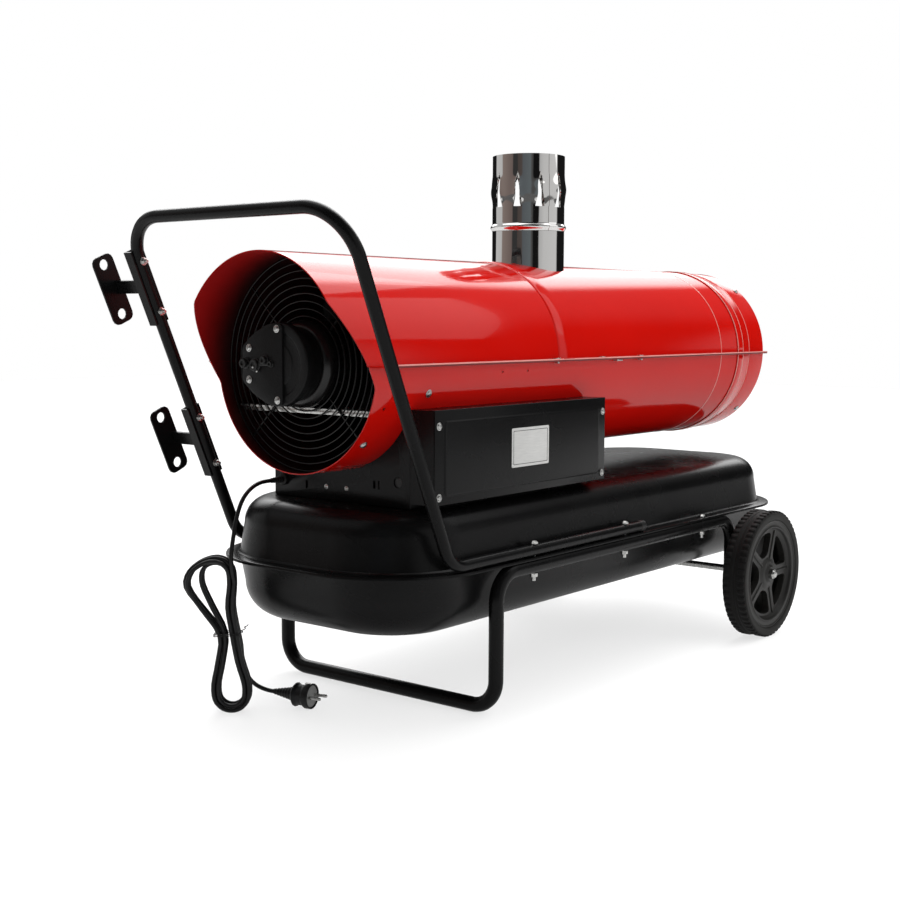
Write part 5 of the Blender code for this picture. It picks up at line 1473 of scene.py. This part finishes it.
# Combustion chamber, heat exchanger drum and the cradles that carry it: heat resisting
# steel, spun and welded, tinted straw and blue by the welding heat.
exchanger_radius = casing_radius - 0.0330
chamber_radius = exchanger_radius - 0.0370
chamber_x = leg_x + 0.1200
chamber_length = 0.6200
exchanger_x = leg_x + 0.1900
exchanger_length = 0.6400
dome = 0.0300
heat_steel = Finish("heat_tinted_steel", (0.36, 0.33, 0.30), 0.38, 0.9)
tint = heat_steel.noise(5.0, 4.0)
brush = heat_steel.noise(30.0, 3.0, (1.0, 14.0, 14.0))
heat_steel.set("Base Color", heat_steel.mix(tint, (0.42, 0.37, 0.30), (0.24, 0.24, 0.28)))
heat_steel.set("Roughness", brush * 0.25 + 0.26)
heat_steel.bump(brush, 0.0001)
heat_steel = heat_steel.material
profile = soften([(0, chamber_length), (chamber_radius / 2, chamber_length - dome / 4),
                  (chamber_radius, chamber_length - dome), (chamber_radius, 0),
                  (chamber_radius - sheet, 0), (chamber_radius - sheet, chamber_length - dome),
                  (chamber_radius / 2, chamber_length - dome / 4 - sheet),
                  (0, chamber_length - sheet)], 0.012, 4)
piece("chamber_drum", lathe(profile, 72, on_axis(chamber_x)), heat_steel,
      replaces=["combustion_chamber"])
edge = exchanger_radius - dome
hole_radius = chamber_radius + gap
profile = [(0, exchanger_length), (edge, exchanger_length),
           (exchanger_radius, exchanger_length - dome), (exchanger_radius, 0), (hole_radius, 0),
           (hole_radius, sheet), (exchanger_radius - sheet, sheet),
           (exchanger_radius - sheet, exchanger_length - dome),
           (edge - sheet / 2, exchanger_length - sheet), (0, exchanger_length - sheet)]
drum = lathe(soften(profile, 0.008, 5), 96, on_axis(exchanger_x))
smoke_hole = lathe(rod(flue_radius - 0.0012, 0, 0.1), 64, at(flue_x, 0, casing_z + chamber_radius))
piece("exchanger_drum", cut(drum, smoke_hole), heat_steel,
      replaces=["heat_exchanger"])
coat(heat_steel, "exchanger_cradle_front", "exchanger_cradle_rear")

# Burner head: a pressed cup with the nozzle holder in its middle, on two flat struts.
burner_x = leg_x + 0.0700
burner_length = 0.0600
burner_radius = 0.0550
back = burner_length / 6
profile = soften([(0, burner_length + 0.030), (0.006, burner_length + 0.030),
                  (0.012, burner_length), (0.012, back), (burner_radius - sheet, back),
                  (burner_radius - sheet, burner_length), (burner_radius, burner_length),
                  (burner_radius, 0), (0, 0)], 0.003, 3)
reach = casing_radius - 2 * sheet
struts = [bar((burner_x + back, min(a, b), casing_z - sheet),
              (burner_x + back + 0.020, max(a, b), casing_z + sheet), 0.0005)
          for a, b in ((-reach, -burner_radius + sheet), (burner_radius - sheet, reach))]
burner = joined(lathe(profile, 64, on_axis(burner_x)), *struts)
piece("burner_cup", burner, heat_steel, replaces=["burner_head"])

# Flue pipe: bright stainless steel, rolled and seam welded, with a pressed bead. Near its
# top ten slots leave strips that are twisted and pushed outwards, so that rain stays out.
flue_wall = 0.0012
flue_top_z = casing_z + casing_radius + 0.1800
flue_bead_z = casing_z + casing_radius + 0.0615
flue_bead_half = 0.0065
flue_bead_height = 0.0032
slot_low_z = casing_z + casing_radius + 0.0940
slot_high_z = slot_low_z + 0.0576
slot_half = 0.0058
slot_count = 10
cage_swell = 0.0035
strip_columns = 10
seam_sector = 6
seam_share = 0.41
seam_width = 0.0008
mirror_steel = Finish("mirror_steel", (0.74, 0.73, 0.72), 0.05, 1.0)
ripple = mirror_steel.noise(26.0, 2.0, (1.0, 1.0, 0.25))
mirror_steel.set("Base Color", mirror_steel.mix(ripple, (0.70, 0.69, 0.67), (0.80, 0.79, 0.78)))
mirror_steel.set("Roughness", mirror_steel.noise(60.0) * 0.06 + 0.02)
mirror_steel.bump(ripple, 0.0010, 0.5)
mirror_steel = mirror_steel.material
heights = [casing_z + exchanger_radius * 0.8, flue_bead_z - flue_bead_half - 0.0010]
heights += [flue_bead_z + flue_bead_half * (i / 6 - 1) for i in range(13)]
heights += [flue_bead_z + flue_bead_half + 0.0010, slot_low_z - 0.0060, slot_low_z - 0.0006,
            slot_low_z, slot_low_z + 0.0004]
heights += [slot_low_z + (slot_high_z - slot_low_z) * i / 40 for i in range(1, 41)]
heights += [slot_high_z + 0.0006, slot_high_z + 0.0060, flue_top_z - 0.0016, flue_top_z]


def slot_half_angle(height, side):
    """Half the opening angle of a slot on one side: wide and cut off below, torn to a tip above."""
    share = (height - slot_low_z) / (slot_high_z - slot_low_z)
    if not 0 < share < 1:
        return 0.0
    wave = 0.15 * sin(2 * pi * (1.5 * share + (0.05 if side > 0 else 0.25)))
    half = max(1.25 - share + wave, 0.12) * min(1.0, (1 - share) * 9)
    return half * slot_half / flue_radius


def flue_point(sector, share, height):
    """A point of the pipe: its sector between two slots, its share across it and its height."""
    pitch = 2 * pi / slot_count
    low = slot_half_angle(height, 1)
    high = pitch - slot_half_angle(height, -1)
    turn = pitch * (sector + 0.5) + low + (high - low) * share
    radius = flue_radius
    if abs(height - flue_bead_z) < flue_bead_half:
        radius += flue_bead_height * (0.5 + 0.5 * cos(pi * (height - flue_bead_z) / flue_bead_half))
    if slot_low_z < height < slot_high_z:
        rise = sin(pi * (height - slot_low_z) / (slot_high_z - slot_low_z)) ** 2
        edge = (2 * share - 1) ** 4
        ripple = sin(4 * pi * (height - slot_low_z) / (slot_high_z - slot_low_z) + sector)
        radius += cage_swell * rise * (0.30 + edge * (0.40 + 0.14 * ripple))
    return Vector((flue_x + radius * cos(turn), radius * sin(turn), height))


bm = bmesh.new()
for sector in range(slot_count):
    rows = [[bm.verts.new(flue_point(sector, i / strip_columns, height))
             for i in range(strip_columns + 1)] for height in heights]
    loft(bm, rows)
bmesh.ops.remove_doubles(bm, verts=bm.verts, dist=0.00001)
bmesh.ops.recalc_face_normals(bm, faces=bm.faces)
probe = bm.faces[:][0]
centre = probe.calc_center_median()
if probe.normal.dot(centre - Vector((flue_x, 0, centre.z))) < 0:
    bmesh.ops.reverse_faces(bm, faces=bm.faces)
flue = mesh_of(bm)
flue.shade_smooth()
flue = baked(flue, ("SOLIDIFY", {"thickness": flue_wall, "offset": -1}))
piece("flue_with_cage", smoothed(flue, 40), mirror_steel, replaces=["flue_pipe"])
seam = [flue_point(seam_sector, seam_share, height) for height in heights
        if height > casing_z + casing_radius - 0.004]
piece("flue_weld_seam", baked(round_curve("seam", seam, seam_width, 1)), heat_steel)

# Compressor and motor: a die cast pump body with a bolted valve cover and its ports, on
# the back of the fan motor. They stand on a zinc plated bracket in the inlet.
pump_x = leg_x - 0.2250
pump_depth = 0.035
pump_radius = 0.052
pump_flange_depth = 0.012
pump_flange_radius = 0.058
valve_back = 0.0034
pump_screws = ((-0.0030, 0.0490), (0.0520, 0.0222), (0.0520, -0.0219), (-0.0038, -0.0490))
pump_screw_radius = 0.0046
port_spots = ((0.0570, 0.0010, 0.0064, 0.0090), (0.0385, -0.0010, 0.0080, 0.0060),
              (0.0185, 0.0060, 0.0055, 0.0075), (0.0075, 0.0010, 0.0040, 0.0050))
port_screw_radius = 0.0014
motor_length = 0.0950
motor_radius = 0.0620
motor_x = pump_x + pump_depth + 2 * gap
shaft_bore = 0.0063
shaft_bore_end = motor_length - 0.0306
bracket_sheet = 0.0025
bracket_half_width = 0.130
cast_alloy = Finish("cast_alloy", (0.014, 0.014, 0.0145), 0.42, 0.0, specular_ior_level=0.15)
pits = cast_alloy.noise(420.0, 4.0)
cast_alloy.set("Base Color", cast_alloy.mix(cast_alloy.noise(18.0), (0.0055, 0.0055, 0.0058),
                                            (0.0100, 0.0100, 0.0103)))
cast_alloy.set("Roughness", pits * 0.25 + 0.30)
cast_alloy.bump(pits, 0.00025)
cast_alloy = cast_alloy.material
pump_place = on_axis(pump_x)
profile = [(0, pump_depth), (pump_radius, pump_depth), (pump_radius, pump_flange_depth),
           (pump_flange_radius, pump_flange_depth), (pump_flange_radius, 0.0015),
           (pump_flange_radius - 0.0015, 0), (0.046, 0), (0.0445, 0.0012), (0.030, 0.0012),
           (0.0285, 0), (0, 0)]
pump = lathe(soften(profile, 0.0008, 2), 80, pump_place)
valve_outline = [(-0.013, 0.0560), (0.014, 0.0560), (0.044, 0.0420), (0.0660, 0.0240),
                 (0.0660, -0.0240), (0.044, -0.0420), (0.014, -0.0560), (-0.013, -0.0560)]
valve_outline = soften(valve_outline, 0.007, 5, closed=True)
valve_place = at(pump_x - 0.0012, 0, casing_z) @ Matrix((
    (0, 0, -1, 0), (1, 0, 0, 0), (0, 1, 0, 0), (0, 0, 0, 1)))
valve = slab([valve_outline], 0.0044, valve_place, 0.0010)
piece("compressor_body", joined(pump, valve), cast_alloy, replaces=["air_pump"])
screws("compressor_screws", [((pump_x - valve_back, y, casing_z + z), (-1, 0, 0))
                             for y, z in pump_screws], pump_screw_radius)
ports = []
for y, z, radius, height in port_spots:
    profile = soften([(0, height - 0.002), (radius * 0.5, height - 0.002), (radius * 0.5, height),
                      (radius, height), (radius, height * 0.35), (radius * 1.25, height * 0.3),
                      (radius * 1.25, 0), (0, 0)], 0.0007)
    ports.append(lathe(profile, 24, at(pump_x - 0.0032, y, casing_z + z, to_inlet)))
ports.append(bar((pump_x - 0.0068, 0.010, casing_z - 0.0022),
                 (pump_x - 0.0030, 0.056, casing_z + 0.0030), 0.0012))
piece("compressor_ports", joined(*ports), black_plastic)
screws("port_screws", [((pump_x - 0.0094, 0.0385, casing_z - 0.0042), (-1, 0, 0)),
                       ((pump_x - 0.0070, 0.0330, casing_z - 0.0095), (-1, 0, 0))],
       port_screw_radius)
motor_profile = soften([(shaft_bore, motor_length), (motor_radius - 0.008, motor_length),
                        (motor_radius, motor_length - 0.008), (motor_radius, 0.010),
                        (motor_radius - 0.007, 0), (0, 0), (0, shaft_bore_end),
                        (shaft_bore, shaft_bore_end)], 0.0040, 5)
motor = lathe(motor_profile + [motor_profile[0]], 96, on_axis(motor_x))
motor_black = dark_finish("motor_black_enamel", (0.0045, 0.0041, 0.0041), (0.0080, 0.0073, 0.0073),
                          0.26, 0.1, 300.0, 0.00008, specular_ior_level=0.4)
piece("motor_housing", motor, motor_black, replaces=["fan_motor"])
bracket_mid_x = motor_x + motor_length / 2
bracket_low_z = casing_z - motor_radius - gap - bracket_sheet
lip = bar((bracket_mid_x - 0.0250, -bracket_half_width, bracket_low_z - 0.0055),
          (bracket_mid_x - 0.0235, bracket_half_width, bracket_low_z + 0.0005), 0.0005)
piece("motor_bracket_lip", lip, zinc)

# Fan guard: wire rings welded on radial rods and dipped black, fixed inside the inlet.
guard_x = leg_x - 0.1710
guard_inner = 0.0665
guard_outer = casing_radius - 0.0035
guard_rings = 9
guard_wire = 0.0012
guard_rod_half = 0.0014
guard_rod_count = 4
ring_tree = Grower("guard_rings", Inner="Float", Step="Float", Count="Int", Wire="Float")
size = ring_tree.node("GeometryNodeInputIndex") * ring_tree.given("Step") + ring_tree.given("Inner")
sizes = ring_tree.node("ShaderNodeCombineXYZ", {}, {"X": size, "Y": size, "Z": size})
spots = ring_tree.node("GeometryNodeMeshCircle", {}, {"Vertices": ring_tree.given("Count"),
                                                      "Radius": 0.0})
ring = ring_tree.node("GeometryNodeCurvePrimitiveCircle", {}, {"Resolution": 96, "Radius": 1.0})
rings = ring_tree.node("GeometryNodeInstanceOnPoints", {},
                       {"Points": spots, "Instance": ring, "Scale": sizes})
rings = ring_tree.node("GeometryNodeRealizeInstances", {}, {"Geometry": rings})
section = ring_tree.node("GeometryNodeCurvePrimitiveCircle", {},
                         {"Resolution": 8, "Radius": ring_tree.given("Wire")})
ring_tree.ends(ring_tree.node("GeometryNodeCurveToMesh", {},
                              {"Curve": rings, "Profile Curve": section}))
guard_place = on_axis(guard_x)
guard_mesh = grown(ring_tree, Inner=guard_inner,
                   Step=(guard_outer - guard_inner) / (guard_rings - 1), Count=guard_rings,
                   Wire=guard_wire, place=guard_place)
guard_mesh.shade_smooth()
guard_rod = bar((guard_inner - 0.001, -guard_rod_half, 0.0006),
                (guard_outer + 0.0010, guard_rod_half, 0.0034), 0.0009)
rods = grown(ring_of_parts, part=guard_rod, Count=guard_rod_count, Start=pi / 4, place=guard_place)
guard_paint = dark_finish("dipped_wire", (0.0034, 0.0034, 0.0032), (0.0062, 0.0062, 0.0059), 0.36,
                          0.1, 260.0, 0.00006, specular_ior_level=0.3)
piece("guard_wires", joined(guard_mesh, rods), guard_paint,
      replaces=["fan_guard"])

# Fan: five moulded blades, twisted and cambered, on a hub that turns on the motor's shaft.
fan_x = leg_x - 0.0500
fan_radius = casing_radius - 0.0270
hub_radius_fan = 0.0300
hub_length = 0.0240
blade_count = 5
blade_rows = 12
blade_columns = 8
blade_root = hub_radius_fan * 0.75
chord_start = 0.040
chord_swell = 0.016
chord_taper = 0.020
blade_pitch = 36
blade_twist = 10
blade_camber = 0.004
blade_sweep = 0.006
blade_gauge = 0.0018
shaft_lap = 0.0300
bm = bmesh.new()
grid = []
for row in range(blade_rows + 1):
    share = row / blade_rows
    radius = blade_root + (fan_radius - blade_root) * share
    pitch = radians(blade_pitch - blade_twist * share)
    chord = chord_start + chord_swell * sin(pi * min(share * 0.8 + 0.1, 1.0))
    chord -= chord_taper * max(share - 0.85, 0) / 0.15
    line = []
    for column in range(blade_columns + 1):
        across = column / blade_columns - 0.5
        camber = blade_camber * (1 - 4 * across * across)
        line.append(bm.verts.new((radius, across * chord * cos(pitch) + blade_sweep * share * share,
                                  hub_length / 2 + across * chord * sin(pitch) + camber - 0.002)))
    grid.append(line)
loft(bm, grid)
bmesh.ops.recalc_face_normals(bm, faces=bm.faces)
blade = mesh_of(bm)
blade.shade_smooth()
blade = baked(blade, ("SOLIDIFY", {"thickness": blade_gauge, "offset": 0}))
shaft_low = motor_x + motor_length - shaft_lap - fan_x
profile = [(0, hub_length), (hub_radius_fan * 0.7, hub_length), (hub_radius_fan, hub_length * 0.7),
           (hub_radius_fan, 0), (0.006, 0), (0.006, shaft_low), (0, shaft_low)]
fan_place = on_axis(fan_x)
fan_mesh = joined(lathe(soften(profile, 0.002, 3), 48),
                  grown(ring_of_parts, part=blade, Count=blade_count, Start=0.0))
fan_mesh.transform(fan_place)
piece("fan_blades_and_hub", fan_mesh, black_plastic, "fan_rotor", ["fan"])

# Cord brackets: pressed steel channels clamped on the far leg of the handle, each with a
# welded arm and a hook plate. Their CAD solids are right, so they only get their coat.
bracket_shares = (("upper", 0.197), ("lower", 0.673))
bracket_bolt_reach = 0.0385
top = Vector((leg_x - handle_top_back, rail_y, handle_top_z))
foot_point = Vector((leg_x - handle_foot_back, rail_y, handle_rail_z))
down = (foot_point - top).normalized()
bolts = []
for word, share in bracket_shares:
    coat(black_paint, "cord_bracket_" + word)
    for along in (-bracket_bolt_reach, bracket_bolt_reach):
        centre = top + (foot_point - top) * share + down * along
        place = at(*(centre - Vector((0, handle_tube / 2 + gap, 0))), to_side[-1])
        profile = [(0, 0.0092), (0.0021, 0.0092), (0.0025, 0.0088), (0.0025, 0.0052),
                   (0.0024, 0.0050), (0, 0.0050)]
        nut = lathe([(0, 0.0052), (0.0044, 0.0052), (0.0048, 0.0046), (0.0048, 0.0010),
                     (0, 0.0010)], 6, place, angle=20)
        bolts += [lathe(profile, 20, place), nut, lathe(rod(0.0058, 0, 0.0011), 32, place)]
piece("bracket_clamp_bolts", joined(*bolts), zinc)

# Studio: a white set. The floor is a half clear film with a glow of its own, so that it
# runs into the backdrop and only shadows show on it. A large soft box hangs overhead, and a
# small one stands high on the near side, by the outlet.
floor_reach = 9
floor_mesh = bpy.data.meshes.new("studio_floor")
floor_mesh.from_pydata([(-floor_reach, -floor_reach, 0), (floor_reach, -floor_reach, 0),
                        (floor_reach, floor_reach, 0), (-floor_reach, floor_reach, 0)], [],
                       [(0, 1, 2, 3)])
floor_paint = Finish("studio_floor_film", (0.88, 0.88, 0.88), 0.5, specular_ior_level=0.0,
                     alpha=0.55, emission_color=(1.0, 1.0, 1.0, 1.0), emission_strength=0.44)
floor_paint.set("Roughness", floor_paint.noise(3.0) * 0.1 + 0.45)
floor_mesh.materials.append(floor_paint.material)
linked("studio_floor", floor_mesh)


def soft_box(name, place, turn, width, depth, power):
    """A rectangular area light, turned by a quaternion or matrix from facing down."""
    lamp = bpy.data.lights.new(name, "AREA")
    lamp.shape = "RECTANGLE"
    lamp.size = width
    lamp.size_y = depth
    lamp.energy = power
    thing = linked(name, lamp)
    thing.location = place
    thing.rotation_euler = turn.to_euler()


overhead_place = Vector((0.25, 0.20, 2.5))
overhead_aim = Vector((0.1, 0.0, 0.5))
side_turn = Matrix(((0.97, 0, 0.247), (0.18, 0.69, -0.70), (-0.17, 0.72, 0.67)))
soft_box("overhead_box", overhead_place, (overhead_aim - overhead_place).to_track_quat("-Z", "Y"),
         width=2.8, depth=1.8, power=28)
soft_box("side_box", (0.72, -0.83, 1.40), side_turn, width=0.76, depth=1.0, power=2.0)

# World: plain white for the camera, and a soft gradient for matt surfaces. Bright metal and
# enamel mirror a dark near half, a bright far half, and upright flags of light and dark.
near_glow, far_glow = 0.05, 1.0
inlet_gain, outlet_gain = 0.5, 4.5
below_glow = (0.12, 0.12, 0.12)
white = (1, 1, 1)
world = bpy.data.worlds.new("studio")
bpy.context.scene.world = world
world.use_nodes = True
studio = Tree(world.node_tree)
way_x, way_y, way_z = studio.along_axes(studio.node("ShaderNodeTexCoord", output="Generated"))
round_share = way_x.maths("ARCTAN2", way_y, way_x) * (0.5 / pi) + 0.5
flags = studio.node("ShaderNodeValToRGB", {"stops": (
    (0.000, (0.075, 0.060, 0.055)), (0.042, (0.090, 0.075, 0.070)), (0.046, (0.10, 0.11, 0.12)),
    (0.118, (0.13, 0.15, 0.16)), (0.124, 0.09), (0.137, 0.06), (0.141, 0.008), (0.189, 0.008),
    (0.195, 0.50), (0.240, 0.62), (0.372, 0.66), (0.384, 0.60), (0.392, 0.010), (0.748, 0.010),
    (0.756, 0.62), (0.838, 0.56), (0.846, (0.26, 0.21, 0.19)), (0.950, (0.17, 0.13, 0.12)),
    (0.958, 0.04))}, {"Fac": round_share})
behind = studio.eased(way_y, -0.03, 0.12, near_glow, far_glow)
beyond = studio.eased(way_x, 0.10, 0.50, inlet_gain, outlet_gain)
raised = studio.eased(way_z + (way_x * 0.78 + way_y * 0.62) * 0.2, 0.37, 0.60)
below = way_z.maths("LESS_THAN", way_z, 0.0)
mirrored = studio.mix(raised, flags, behind * beyond)
mirrored = studio.mix(below, mirrored, below_glow)
soft = way_x * 0.42 + way_y * -0.32 + (below * -0.90 + 0.68)
light = studio.mix(studio.node("ShaderNodeLightPath", output="Is Diffuse Ray"), mirrored, soft)
light = studio.mix(studio.node("ShaderNodeLightPath", output="Is Camera Ray"), light, white)
backdrop = world.node_tree.nodes["Background"]
studio.feed(backdrop.inputs["Color"], light)
studio.feed(backdrop.inputs["Strength"], 1.0)
bpy.context.scene.view_settings.view_transform = "Standard"
